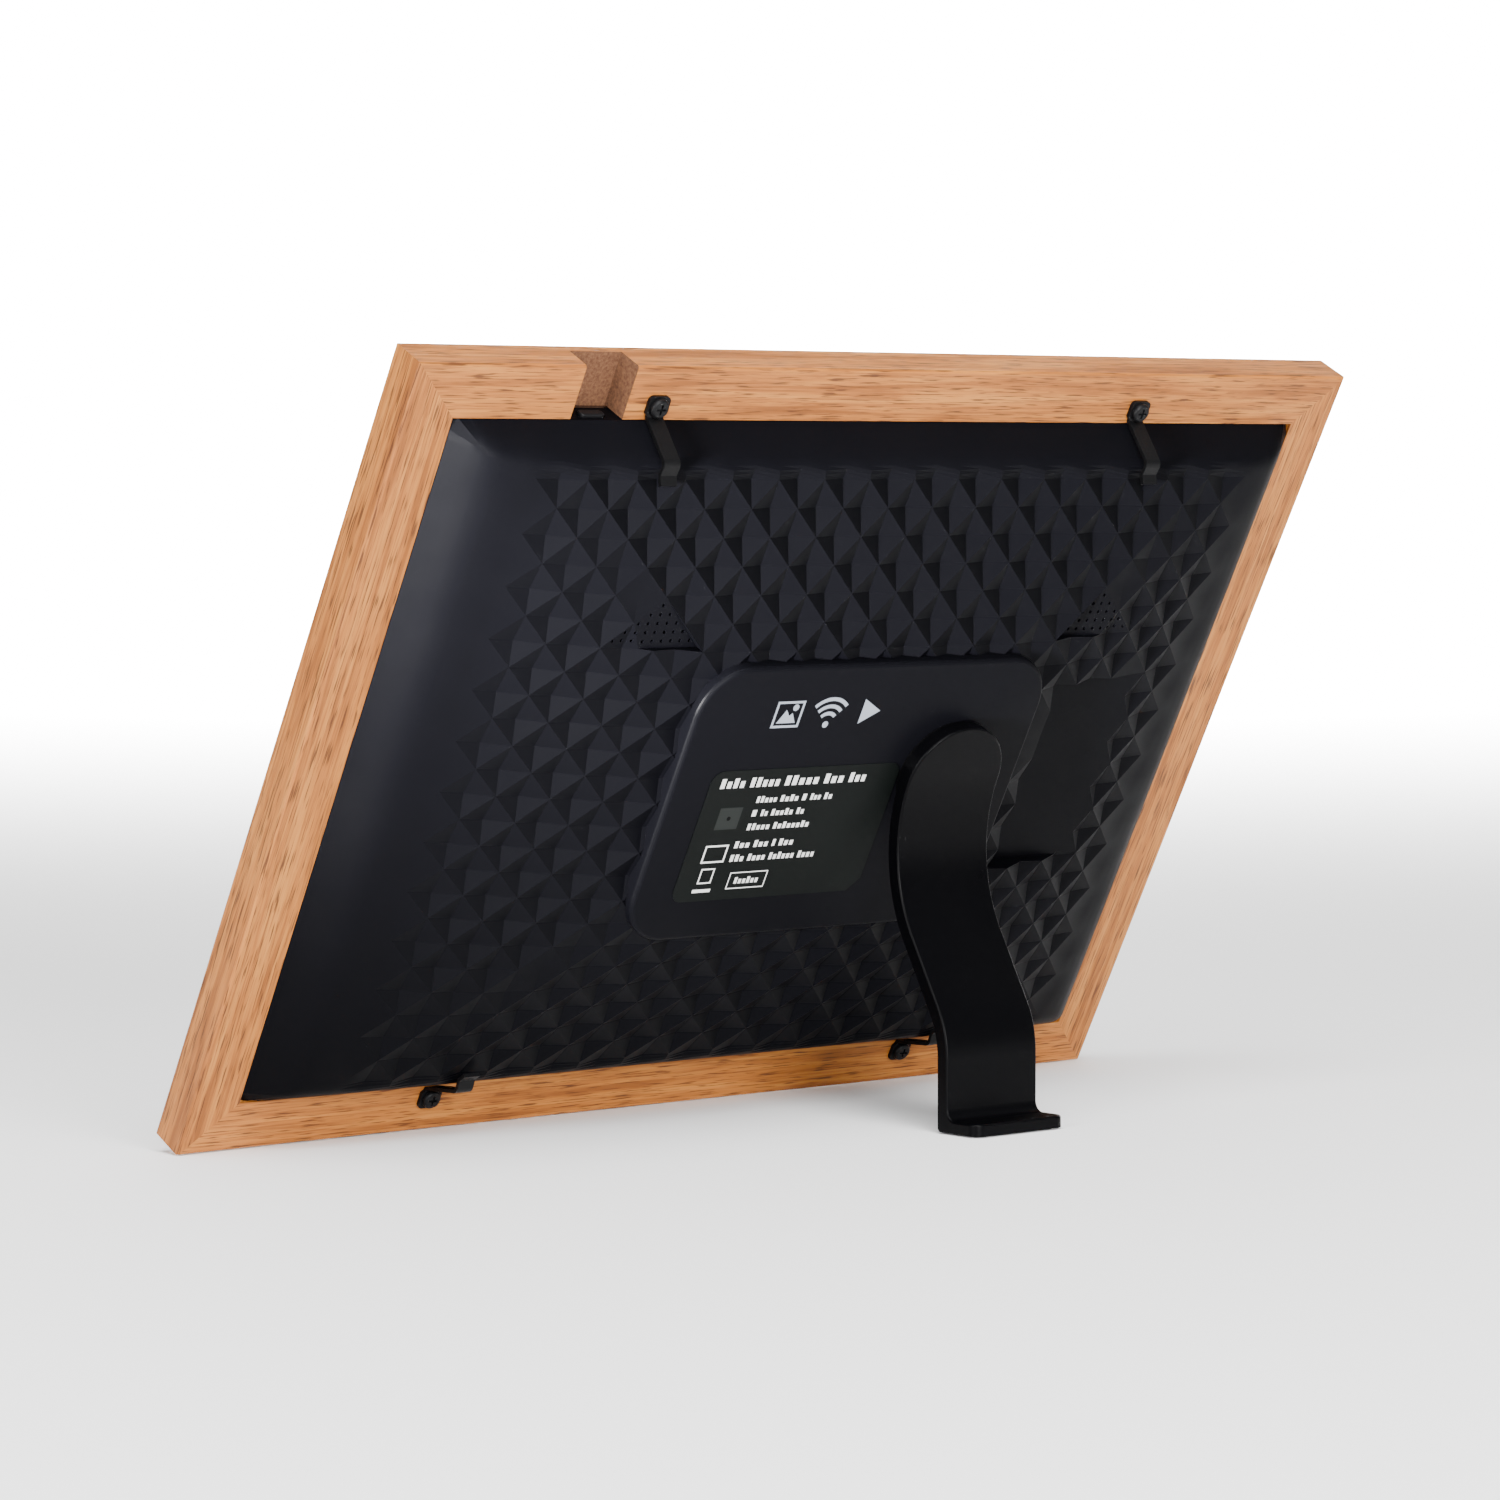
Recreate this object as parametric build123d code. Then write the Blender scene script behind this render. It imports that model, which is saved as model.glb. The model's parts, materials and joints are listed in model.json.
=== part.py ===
from build123d import *
from math import cos, radians, sin
import os

# Digital photo frame: a 10-inch screen module held in a mitred wooden frame by four spring clips,
# leaning back on a leg that swivels a quarter turn, so that the frame also stands on its short side.
#
# Every piece is drawn upright, in millimetres: x to the right as seen from the front, y out of the back,
# z up the frame, with y = 0 on the wood's back face and the origin at the middle of the frame.
# place() then leans the whole frame back onto the surface that it stands on.

# Wooden frame
FRAME_WIDTH = 262.0
FRAME_HEIGHT = 186.0
WOOD_DEPTH = 9.2
RAIL_WIDTH = 12.0
LIP_WIDTH = 3.0                    # how far the front lip covers the glass
REBATE_DEPTH = 6.5                 # from the back face down to the lip
WOOD_EDGE_RADIUS = 0.7
LEAN = 28.0                        # degrees that the frame leans back
OPENING_WIDTH = FRAME_WIDTH - 2 * RAIL_WIDTH
OPENING_HEIGHT = FRAME_HEIGHT - 2 * RAIL_WIDTH

# Finger notch in the top rail, over the power button
NOTCH_X = 82.9
NOTCH_WIDTH = 13.4

# Screen module, which drops into the rebate: each y is the back face of its layer
MODULE_WIDTH = OPENING_WIDTH - 0.4
MODULE_HEIGHT = OPENING_HEIGHT - 0.4
MODULE_CORNER = 1.5
GLASS_BACK = -5.4
TAPE_BACK = -5.1
LCD_BACK = -4.0
BACKLIGHT_BACK = -2.6
CHASSIS_BACK = -1.2
LCD_WIDTH, LCD_HEIGHT = 229.4, 149.0
VIEW_WIDTH, VIEW_HEIGHT = 219.0, 137.6
WINDOW_WIDTH, WINDOW_HEIGHT, WINDOW_Z = 120.0, 90.0, -10.0

# Back cover: a low dome with four sloping sides and a raised plate in the middle
WALL = 2.4
RIM_Z, RIM_TOP_Y = 75.0, 8.65      # where the border meets the top and bottom slopes
RIM_X, RIM_SIDE_Y = 111.5, 6.8     # where the border meets the side slopes
EASE_X, EASE_Y = 88.2, 12.5        # where the side slopes ease
PLATE_HALF_X, PLATE_HALF_Z = 49.5, 33.7
SHOULDER_Y = 19.0                  # height of the dome round the plate
PLATE_Y = 21.0
PLATE_CORNER = 12.0

# Connector pocket in one side slope, with its sockets in the wall nearest the plate
POCKET_X, POCKET_END_X = -56.7, -100.0
POCKET_FLOOR = 12.2
POCKET_HALF = 24.0
SOCKET_Z, CARD_Z = 10.0, -8.0
SOCKET_WIDTH, SOCKET_HEIGHT = 9.0, 3.3
CARD_WIDTH, CARD_HEIGHT = 14.0, 1.9
CARD_MOUTH_WIDTH, CARD_MOUTH_HEIGHT = 11.6, 1.3
SOCKET_BODY_X = -46.0
CARD_BODY_X = -41.0
MOUTH_GAP = 0.2

# Speaker grilles: flat triangles cut into the upper slope
GRILLE_X = 63.0
GRILLE_BASE_Z = 36.0
GRILLE_HEIGHT = 12.0
GRILLE_HALF_BASE = 12.6
GRILLE_Y = 15.2
GRILLE_HOLE = 0.42
GRILLE_ROWS = 5
GRILLE_TOP_ROW_Z = 46.0
GRILLE_PITCH = 2.5
GRILLE_ROW_PITCH = 2.1
SPEAKER_X, SPEAKER_Z = 61.5, 41.5
SPEAKER_FRONT, SPEAKER_BACK = 5.6, 10.0
SPEAKER_WIDTH, SPEAKER_HEIGHT = 30.0, 20.0
SPEAKER_CORNER = 4.0
CONE_WIDTH, CONE_HEIGHT = 22.0, 12.0
CONE_DEPTH, CONE_SINK = 0.8, 0.2
GASKET_WIDTH, GASKET_HEIGHT, GASKET_WALL = 21.0, 12.6, 1.5

# Leg and its swivel
PIVOT_X, PIVOT_Z = -26.5, 6.0
SWIVEL_TOP = 22.3
SWIVEL_RADIUS = 12.4
LEG_WIDTH = 26.6
LEG_THICKNESS = 3.0
LEG_FACE = SWIVEL_TOP + 3.3
LEG_KNEE_Z = -12.3                 # where the flat stretch and the slanting stretch would meet
LEG_KNEE_RADIUS = 36.0
LEG_ANKLE_RADIUS = 22.0
LEG_SLOPE = 57.5                   # degrees between the slanting stretch and the frame
SHIN_BACK = 81.4                   # the upright stretch's back face, from the wood's bottom edge
FOOT_TIP = 90.6
FOOT_THICKNESS = 2.6
FOOT_CORNER = 2.5
FOOT_BEND = 2.4
HEEL_RADIUS = 0.9
LEG_EDGE_RADIUS = 0.5
PAD_STAND = 0.4                    # how far the rubber pad stands out under the foot
PAD_THICKNESS = 1.0
BOLT_RADIUS = 3.0
BOLT_END = 24.4
BOLT_HEAD_RADIUS = 5.5
BOLT_HEAD_FRONT, BOLT_HEAD_BACK = 14.8, 16.2
SPRING_WASHER_BACK = 17.4
SPRING_THICKNESS = 0.6
BOLT_CROSS_LENGTH, BOLT_CROSS_WIDTH, BOLT_CROSS_DEPTH = 6.0, 1.0, 0.9
STOP_DISTANCE = 9.6                # from the swivel's axis to the stop peg
STOP_PEG_RADIUS = 1.0
STOP_SLOT_WIDTH = 2.6
RUNNING_GAP = 0.05

# Spring clips and their screws
CLIP_X = 68.5
CLIP_SCREW_Z = 84.1
CLIP_WIDTH = 5.5
TONGUE_WIDTH = 4.2                 # narrow enough to swing over the cover's edge
TONGUE_START = 0.4                 # where the clip bends up, from the opening's edge
TONGUE_PATH = [(9.6, 5.1), (9.3, 7.8), (10.6, 9.8)]   # (y, distance in from the opening's edge)
CLIP_TAB = 5.6
CLIP_THICKNESS = 0.8
CLIP_BEND = 1.0
CLIP_CORNER = 1.2
CLIP_SHANK = 1.25
CLIP_HEAD = 2.2
CLIP_HEAD_HEIGHT = 1.1
CLIP_HEAD_ROUND = 0.7
CLIP_CROSS_LENGTH, CLIP_CROSS_WIDTH = 2.4, 0.5
CROSS_CORNER = 0.2
CLIP_SCREW_END = -5.0

# Rating label and printed icons, on the raised plate
LABEL_X, LABEL_Z = 12.8, -7.5
LABEL_WIDTH, LABEL_HEIGHT, LABEL_CORNER = 53.0, 32.5, 3.5
LABEL_THICKNESS = 0.15
ICON_X, ICON_Z = 12.7, 22.1
ICON_SIZE, ICON_PITCH = 8.0, 11.5

# Power button, pressed down through the module's top wall
BUTTON_Y = -2.2
BUTTON_WIDTH, BUTTON_HEIGHT = 6.4, 2.3
BUTTON_STAND = 0.7
BUTTON_FLANGE = 0.9
BUTTON_TRAVEL = 0.6

# Main board, hung from four posts inside the cover
BOARD_X0, BOARD_X1 = -54.0, 14.0
BOARD_HALF = 23.0
BOARD_FRONT, BOARD_BACK = 12.0, 13.6
POST_X = (-47.0, 10.0)
POST_Z = 19.0
POST_RADIUS = 3.0
SCREW_RADIUS = 0.8
SCREW_HEAD_RADIUS = 1.5
SCREW_HEAD_HEIGHT = 1.1
SCREW_HOLE = SCREW_RADIUS + 0.05
SCREW_LENGTH = 3.4
SCREW_CROSS_LENGTH, SCREW_CROSS_WIDTH = 1.8, 0.4
SHORT_SCREW_LENGTH = 2.9
POST_HOLE_DEPTH = 3.0
BOARD_CORNER = 1.5

# What stands on the main board: (width, height, corner, thickness, x, z)
SHIELD_CAN = (20, 17, 1.5, 2.2, -3, -7)
RADIO = (12, 12, 0.8, 1.8, -5, 12)
SOCKET_SHEET = 0.4

# Screws that join the chassis to the cover, from under the screen
CHASSIS_SCREW_X = (-100.0, -35.0, 35.0, 100.0)
CHASSIS_SCREW_Z = 76.45
BOSS_RADIUS = 1.8
CHASSIS_HEAD_HEIGHT = 1.3
CHASSIS_SCREW_BITE = 2.2

# Small board and side-acting switch under the power button
SWITCH_FRONT, BUTTON_BOARD_FRONT, BUTTON_BOARD_BACK = -2.5, 0.1, 1.1
BUTTON_BOARD_HALF = 9.0
BUTTON_SCREW_REACH = 6.0
PLUNGER_HEIGHT = 0.5
SWITCH_WIDTH = 6.0
SWITCH_Z = 72.5
BUTTON_BOARD_Z = 64.0

# Wires inside the cover
LEAD_RADIUS = 0.7
LEAD_BEND = 3.0
ANTENNA_X, ANTENNA_Z = 90.0, -18.0
ANTENNA_WIDTH, ANTENNA_HEIGHT, ANTENNA_THICKNESS = 10.0, 44.0, 0.5

# Ribbon to the screen: (y, z) points of its path
RIBBON_X, RIBBON_WIDTH, RIBBON_THICKNESS, RIBBON_BEND = -20.0, 20.0, 0.3, 3.0
RIBBON_PATH = [
    (BOARD_FRONT, -12.0),
    (BOARD_FRONT, -32.0),
    (BACKLIGHT_BACK + 0.3, -38.0),
    (BACKLIGHT_BACK + 0.3, -52.0),
]

lean_cos, lean_sin = cos(radians(LEAN)), sin(radians(LEAN))
half_width, half_height = FRAME_WIDTH / 2, FRAME_HEIGHT / 2
module_top = MODULE_HEIGHT / 2
wall_inside = module_top - WALL
socket_y = BOARD_BACK + SOCKET_HEIGHT / 2
card_y = BOARD_BACK + CARD_HEIGHT / 2
front_reach = -WOOD_DEPTH * lean_cos
centre_shift = -(front_reach + FOOT_TIP) / 2


# ---------------------------------------------------------------- helpers

def place(shape):
    """Leans an upright piece back and sets it on z = 0, with the origin under the middle of the object."""
    leaning = Rot(-LEAN, 0, 0) * Pos(0, 0, half_height) * shape
    return Pos(0, centre_shift, 0) * leaning


def floor_point(along, height):
    """Upright (y, z) of a point given back from the wood's bottom edge, and above the surface."""
    y = along * lean_cos - height * lean_sin
    z = along * lean_sin + height * lean_cos - half_height
    return (y, z)


def block(x0, x1, y0, y1, z0, z1):
    return Pos((x0 + x1) / 2, (y0 + y1) / 2, (z0 + z1) / 2) * Box(x1 - x0, y1 - y0, z1 - z0)


def disc(x, z, radius, y0, y1):
    return Pos(x, (y0 + y1) / 2, z) * Rot(90, 0, 0) * Cylinder(radius, y1 - y0)


def slab(sketch, y0, y1):
    """A sketch drawn in x and z, made solid from y0 to y1."""
    return extrude(Plane.XZ.offset(-y0) * sketch, amount=y0 - y1)


def plate(width, height, corner, y0, y1, x=0.0, z=0.0):
    return slab(Pos(x, z) * RectangleRounded(width, height, corner), y0, y1)


def outline(points):
    return make_face(Polyline(*points, close=True))


def bar(section, width, x=0.0):
    """A section drawn in y and z, made solid to a width centred on x."""
    return Pos(x, 0, 0) * extrude(Plane.YZ * section, amount=width / 2, both=True)


def strip(points, radius, thickness, side):
    """Section of a bent strip: the path's (y, z) points, with every bend rounded."""
    path = FilletPolyline(*points, radius=radius)
    return make_face(offset(path, amount=thickness, side=side, closed=True))


def wire(points, bend, radius):
    path = FilletPolyline(*points, radius=bend)
    return sweep(Plane(origin=path @ 0, z_dir=path % 0) * Circle(radius), path=path)


def cross(length, width):
    """The two bars of a screwdriver cross."""
    return ((length, width), (width, length))


def group(shapes):
    """Several separate solids as one node."""
    return Compound([solid for shape in shapes for solid in shape.solids()])


# ---------------------------------------------------------------- wooden frame

def rail(length, half):
    """A mitred rail drawn along the top of a frame whose half height is given."""
    inner = half - RAIL_WIDTH
    section = outline([
        (-WOOD_DEPTH, inner - LIP_WIDTH),
        (-WOOD_DEPTH, half),
        (0, half),
        (0, inner),
        (-REBATE_DEPTH, inner),
        (-REBATE_DEPTH, inner - LIP_WIDTH),
    ])
    exposed = [v for v in section.vertices() if v.Y > inner + 1 or v.X < -REBATE_DEPTH - 1]
    section = fillet(exposed, WOOD_EDGE_RADIUS)
    depth = RAIL_WIDTH + LIP_WIDTH + 1
    between_mitres = outline([
        (-length / 2, half),
        (length / 2, half),
        (length / 2 - depth, half - depth),
        (-length / 2 + depth, half - depth),
    ])
    return bar(section, length) & slab(between_mitres, -WOOD_DEPTH - 1, 1)


def wooden_frame():
    top = rail(FRAME_WIDTH, half_height)
    side = rail(FRAME_HEIGHT, half_width)
    notch = block(
        NOTCH_X - NOTCH_WIDTH / 2, NOTCH_X + NOTCH_WIDTH / 2,
        -REBATE_DEPTH, 1, half_height - RAIL_WIDTH - LIP_WIDTH - 1, half_height + 1,
    )
    for x in (-CLIP_X, CLIP_X):
        top -= disc(x, CLIP_SCREW_Z, CLIP_SHANK, CLIP_SCREW_END, 1)
    return {
        "rail_top": top - notch,
        "rail_bottom": Rot(0, 180, 0) * top,
        "rail_left": Rot(0, -90, 0) * side,
        "rail_right": Rot(0, 90, 0) * side,
    }


# ---------------------------------------------------------------- spring clips

def spring_clip():
    """The clip at x = 0 on the top rail: a tab under a screw, and a tongue that presses on the cover."""
    edge = OPENING_HEIGHT / 2
    tongue = [
        (0.0, edge + CLIP_TAB),
        (0.0, edge + TONGUE_START),
    ] + [(y, edge - inward) for y, inward in TONGUE_PATH]
    clip = bar(strip(tongue, CLIP_BEND, CLIP_THICKNESS, Side.LEFT), CLIP_WIDTH)
    shoulder = edge + TONGUE_START + (CLIP_WIDTH - TONGUE_WIDTH) / 2
    half_tab, half_tongue = CLIP_WIDTH / 2, TONGUE_WIDTH / 2
    clip &= slab(outline([
        (-half_tab, half_height),
        (half_tab, half_height),
        (half_tab, shoulder + half_tab - half_tongue),
        (half_tongue, shoulder),
        (half_tongue, 0),
        (-half_tongue, 0),
        (-half_tongue, shoulder),
        (-half_tab, shoulder + half_tab - half_tongue),
    ]), -1, PLATE_Y)
    clip -= disc(0, CLIP_SCREW_Z, CLIP_SHANK + RUNNING_GAP, -1, 3)
    tab_corners = clip.edges().filter_by(Axis.Y).sort_by(Axis.Z)[-2:]
    return fillet(tab_corners, CLIP_CORNER)


def clip_screw():
    """Round-head cross screw at x = 0, its head just clear of the clip that turns under it."""
    base = CLIP_THICKNESS + RUNNING_GAP
    top = base + CLIP_HEAD_HEIGHT
    head = disc(0, CLIP_SCREW_Z, CLIP_HEAD, base, top)
    head = fillet(head.edges().sort_by(Axis.Y)[-1], CLIP_HEAD_ROUND)
    for length, width in cross(CLIP_CROSS_LENGTH, CLIP_CROSS_WIDTH):
        head -= plate(length, width, CROSS_CORNER, base + CLIP_HEAD_HEIGHT / 2, top + 1, z=CLIP_SCREW_Z)
    return head + disc(0, CLIP_SCREW_Z, CLIP_SHANK, CLIP_SCREW_END, base)


def clips_and_screws():
    top = spring_clip()
    bottom = mirror(top, about=Plane.XY)
    screw = clip_screw()
    screws = [screw, mirror(screw, about=Plane.XY)]
    return {
        "clip_top_left": Pos(-CLIP_X, 0, 0) * top,
        "clip_top_right": Pos(CLIP_X, 0, 0) * top,
        "clip_bottom_left": Pos(-CLIP_X, 0, 0) * bottom,
        "clip_bottom_right": Pos(CLIP_X, 0, 0) * bottom,
        "clip_screws": group([Pos(x, 0, 0) * s for x in (-CLIP_X, CLIP_X) for s in screws]),
    }


# ---------------------------------------------------------------- back cover

def hill(points, inset, swap):
    """Profile of two opposite slopes, from (distance, y) points. An inset one is open at the front."""
    half = [(points[0][0], TAPE_BACK - 2 * inset)] + points
    corners = [(-d, y) for d, y in half] + [(d, y) for d, y in reversed(half)]
    profile = outline([(y, d) for d, y in corners] if swap else corners)
    return offset(profile, amount=-inset, kind=Kind.INTERSECTION) if inset else profile


def dome(inset):
    """The cover's solid outer form, or with an inset the space inside its wall."""
    sides = [(MODULE_WIDTH / 2, 0), (RIM_X, RIM_SIDE_Y), (EASE_X, EASE_Y), (PLATE_HALF_X, SHOULDER_Y)]
    ends = [(module_top, 0), (RIM_Z, RIM_TOP_Y), (PLATE_HALF_Z, SHOULDER_Y)]
    form = extrude(Plane.XY * hill(sides, inset, False), amount=half_height, both=True)
    form &= bar(hill(ends, inset, True), FRAME_WIDTH)
    return form + plate(
        2 * (PLATE_HALF_X - inset), 2 * (PLATE_HALF_Z - inset), PLATE_CORNER - inset,
        SHOULDER_Y - 2 * WALL, PLATE_Y - inset,
    )


def grille(grow, y0):
    """The triangular hollow of one speaker grille, or the wall round it when grown."""
    top = GRILLE_BASE_Z + GRILLE_HEIGHT
    triangle = outline([
        (GRILLE_X - GRILLE_HALF_BASE, GRILLE_BASE_Z),
        (GRILLE_X + GRILLE_HALF_BASE, GRILLE_BASE_Z),
        (GRILLE_X, top),
    ])
    triangle = offset(triangle, amount=grow, kind=Kind.INTERSECTION) if grow else triangle
    return slab(triangle, y0, PLATE_Y)


def grille_holes():
    places = [
        (GRILLE_X + k * GRILLE_PITCH, GRILLE_TOP_ROW_Z - row * GRILLE_ROW_PITCH)
        for row in range(GRILLE_ROWS) for k in range(-row, row + 1)
    ]
    return [disc(x, z, GRILLE_HOLE, TAPE_BACK, PLATE_Y) for x, z in places]


def chassis_screw_places():
    return [(x, z) for x in CHASSIS_SCREW_X for z in (-CHASSIS_SCREW_Z, CHASSIS_SCREW_Z)]


def board_screw_places():
    return [(x, z) for x in POST_X for z in (-POST_Z, POST_Z)]


def socket_hole():
    """The mouth of the power socket, through the pocket's wall."""
    mouth = RectangleRounded(
        SOCKET_HEIGHT + 2 * MOUTH_GAP, SOCKET_WIDTH + 2 * MOUTH_GAP, SOCKET_HEIGHT / 2,
    )
    return bar(Pos(socket_y, SOCKET_Z) * mouth, 3 * WALL, POCKET_X + WALL / 2)


def back_cover():
    outer = dome(0)
    pocket = block(POCKET_END_X, POCKET_X, POCKET_FLOOR, PLATE_Y + 1, -POCKET_HALF, POCKET_HALF)
    pocket_wall = block(
        POCKET_END_X, POCKET_X + WALL, POCKET_FLOOR - WALL, PLATE_Y + 1,
        -POCKET_HALF - WALL, POCKET_HALF + WALL,
    )
    inside = dome(WALL) - pocket_wall
    grille_wall = grille(WALL, GRILLE_Y - WALL)
    inside = inside - grille_wall - mirror(grille_wall, about=Plane.YZ)
    cover = outer - inside - pocket

    # power socket, memory card mouth and the relief behind the socket
    cover -= socket_hole()
    cover -= block(
        POCKET_X - 1, POCKET_X + WALL + 1, card_y - CARD_MOUTH_HEIGHT / 2, card_y + CARD_MOUTH_HEIGHT / 2,
        CARD_Z - CARD_MOUTH_WIDTH / 2, CARD_Z + CARD_MOUTH_WIDTH / 2,
    )
    cover -= block(
        POCKET_X + WALL, SOCKET_BODY_X, socket_y, socket_y + SOCKET_HEIGHT / 2 + MOUTH_GAP,
        SOCKET_Z - SOCKET_WIDTH / 2 - MOUTH_GAP, SOCKET_Z + SOCKET_WIDTH / 2 + MOUTH_GAP,
    )

    # posts for the board and bosses for the chassis, each with its screw hole
    for x, z in board_screw_places():
        cover += disc(x, z, POST_RADIUS, BOARD_BACK, PLATE_Y - WALL / 2) & outer
    for x, z in chassis_screw_places():
        cover += disc(x, z, BOSS_RADIUS, CHASSIS_BACK, RIM_TOP_Y) & outer
    for x, z in board_screw_places():
        cover -= disc(x, z, SCREW_HOLE, BOARD_BACK - 1, BOARD_BACK + POST_HOLE_DEPTH)
    for x, z in chassis_screw_places():
        cover -= disc(x, z, SCREW_HOLE, CHASSIS_BACK - 1, CHASSIS_BACK + CHASSIS_SCREW_BITE + 0.4)

    # speaker grilles, swivel hole and the slot that the power button works in
    hollow = grille(0, GRILLE_Y)
    cover = cover - hollow - mirror(hollow, about=Plane.YZ)
    holes = grille_holes()
    cover = cover - holes - [mirror(h, about=Plane.YZ) for h in holes]
    cover -= disc(PIVOT_X, PIVOT_Z, BOLT_RADIUS + RUNNING_GAP, SHOULDER_Y - 3, PLATE_Y + 1)
    return cover - button_shape(RUNNING_GAP + 0.1, wall_inside - 1, module_top + 1)


# ---------------------------------------------------------------- power button

def button_shape(grow, z0, z1):
    """The button's rounded section, from z0 up to z1."""
    section = RectangleRounded(
        BUTTON_WIDTH + 2 * grow, BUTTON_HEIGHT + 2 * grow, BUTTON_HEIGHT / 2 - 0.1,
    )
    return extrude(Pos(NOTCH_X, BUTTON_Y, z0) * section, amount=z1 - z0)


def power_button():
    cap = button_shape(0, wall_inside - 0.1, module_top + BUTTON_STAND)
    crown = cap.edges().group_by(Axis.Z)[-1]
    cap = fillet(crown, 0.35)
    flange_top = wall_inside - RUNNING_GAP
    return cap + block(
        NOTCH_X - BUTTON_WIDTH / 2 - 1, NOTCH_X + BUTTON_WIDTH / 2 + 1,
        BUTTON_Y - BUTTON_HEIGHT / 2 - 0.3, BUTTON_Y + BUTTON_HEIGHT / 2 + 0.3,
        flange_top - BUTTON_FLANGE, flange_top,
    )


def button_electronics():
    """Side-acting switch under the button, on its own small board screwed to the chassis."""
    plunger_top = wall_inside - RUNNING_GAP - BUTTON_FLANGE - BUTTON_TRAVEL - RUNNING_GAP
    half = SWITCH_WIDTH / 2
    switch = block(
        NOTCH_X - half, NOTCH_X + half,
        SWITCH_FRONT, BUTTON_BOARD_FRONT, SWITCH_Z, plunger_top - PLUNGER_HEIGHT,
    )
    switch += block(
        NOTCH_X - half / 3, NOTCH_X + half / 3,
        SWITCH_FRONT, SWITCH_FRONT + 1, plunger_top - 2 * PLUNGER_HEIGHT, plunger_top,
    )
    board = block(
        NOTCH_X - BUTTON_BOARD_HALF, NOTCH_X + BUTTON_BOARD_HALF,
        BUTTON_BOARD_FRONT, BUTTON_BOARD_BACK, BUTTON_BOARD_Z, plunger_top,
    )
    for x, z in button_screw_places():
        board -= disc(x, z, SCREW_HOLE, BUTTON_BOARD_FRONT - 1, BUTTON_BOARD_BACK + 1)
    return {"button_board": board, "tact_switch": switch}


def button_screw_places():
    return [(NOTCH_X + dx, BUTTON_BOARD_Z + 3) for dx in (-BUTTON_SCREW_REACH, BUTTON_SCREW_REACH)]


# ---------------------------------------------------------------- screen module

def screen_layers():
    """The layers from the touch glass back to the chassis that carries the screen."""
    glass = plate(MODULE_WIDTH, MODULE_HEIGHT, MODULE_CORNER, -REBATE_DEPTH, GLASS_BACK)
    tape = plate(MODULE_WIDTH - 1, MODULE_HEIGHT - 1, 1, GLASS_BACK, TAPE_BACK)
    tape -= plate(VIEW_WIDTH, VIEW_HEIGHT, 1, GLASS_BACK - 1, TAPE_BACK + 1)
    panel = plate(LCD_WIDTH, LCD_HEIGHT, 0.5, TAPE_BACK, LCD_BACK)
    backlight = plate(LCD_WIDTH, LCD_HEIGHT, 0.5, LCD_BACK, BACKLIGHT_BACK)
    return {"cover_glass": glass, "glass_tape": tape, "lcd_panel": panel, "backlight": backlight}


def chassis():
    gap = 0.2
    tray = plate(
        MODULE_WIDTH - 2 * (WALL + gap), MODULE_HEIGHT - 2 * (WALL + gap), 1, TAPE_BACK, CHASSIS_BACK,
    )
    tray -= plate(LCD_WIDTH + 2 * gap, LCD_HEIGHT + 2 * gap, 0.6, TAPE_BACK - 1, BACKLIGHT_BACK)
    tray -= plate(WINDOW_WIDTH, WINDOW_HEIGHT, 4, BACKLIGHT_BACK - 1, CHASSIS_BACK + 1, z=WINDOW_Z)
    for x, z in chassis_screw_places():
        tray -= disc(x, z, SCREW_HOLE + 0.1, TAPE_BACK - 1, CHASSIS_BACK + 1)
        tray -= disc(x, z, SCREW_HEAD_RADIUS + 0.1, TAPE_BACK - 1, TAPE_BACK + CHASSIS_HEAD_HEIGHT)
    reach = SWITCH_WIDTH / 2 + 2
    tray -= block(
        NOTCH_X - reach, NOTCH_X + reach, BUTTON_Y - 2, CHASSIS_BACK + 1, SWITCH_Z - gap, module_top,
    )
    for x, z in button_screw_places():
        tray += disc(x, z, BOSS_RADIUS, CHASSIS_BACK, BUTTON_BOARD_FRONT)
        tray -= disc(x, z, SCREW_HOLE, BACKLIGHT_BACK - 1, BUTTON_BOARD_FRONT + 1)
    return tray


def small_screw(x, z, head_face, direction, length, head_height):
    """A screw along y. Its head bears on head_face and its shank points in direction, +1 or -1."""
    shank_ends = sorted((head_face - direction * head_height / 2, head_face + direction * length))
    head_ends = sorted((head_face - direction * head_height, head_face))
    screw = disc(x, z, SCREW_RADIUS, *shank_ends) + disc(x, z, SCREW_HEAD_RADIUS, *head_ends)
    drive_ends = sorted((head_face - direction * head_height / 2, head_face - direction * 2 * head_height))
    for length, width in cross(SCREW_CROSS_LENGTH, SCREW_CROSS_WIDTH):
        screw -= plate(length, width, CROSS_CORNER / 2, *drive_ends, x, z)
    return screw


def module_screws():
    head_face = TAPE_BACK + CHASSIS_HEAD_HEIGHT
    length = CHASSIS_BACK + CHASSIS_SCREW_BITE - head_face
    chassis_group = [
        small_screw(x, z, head_face, 1, length, CHASSIS_HEAD_HEIGHT - 0.1)
        for x, z in chassis_screw_places()
    ]
    board_group = [
        small_screw(x, z, BOARD_FRONT, 1, SCREW_LENGTH, SCREW_HEAD_HEIGHT) for x, z in board_screw_places()
    ]
    button_group = [
        small_screw(x, z, BUTTON_BOARD_BACK, -1, SHORT_SCREW_LENGTH, SCREW_HEAD_HEIGHT)
        for x, z in button_screw_places()
    ]
    return {
        "chassis_screws": group(chassis_group),
        "board_screws": group(board_group),
        "button_board_screws": group(button_group),
    }


# ---------------------------------------------------------------- electronics

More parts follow.
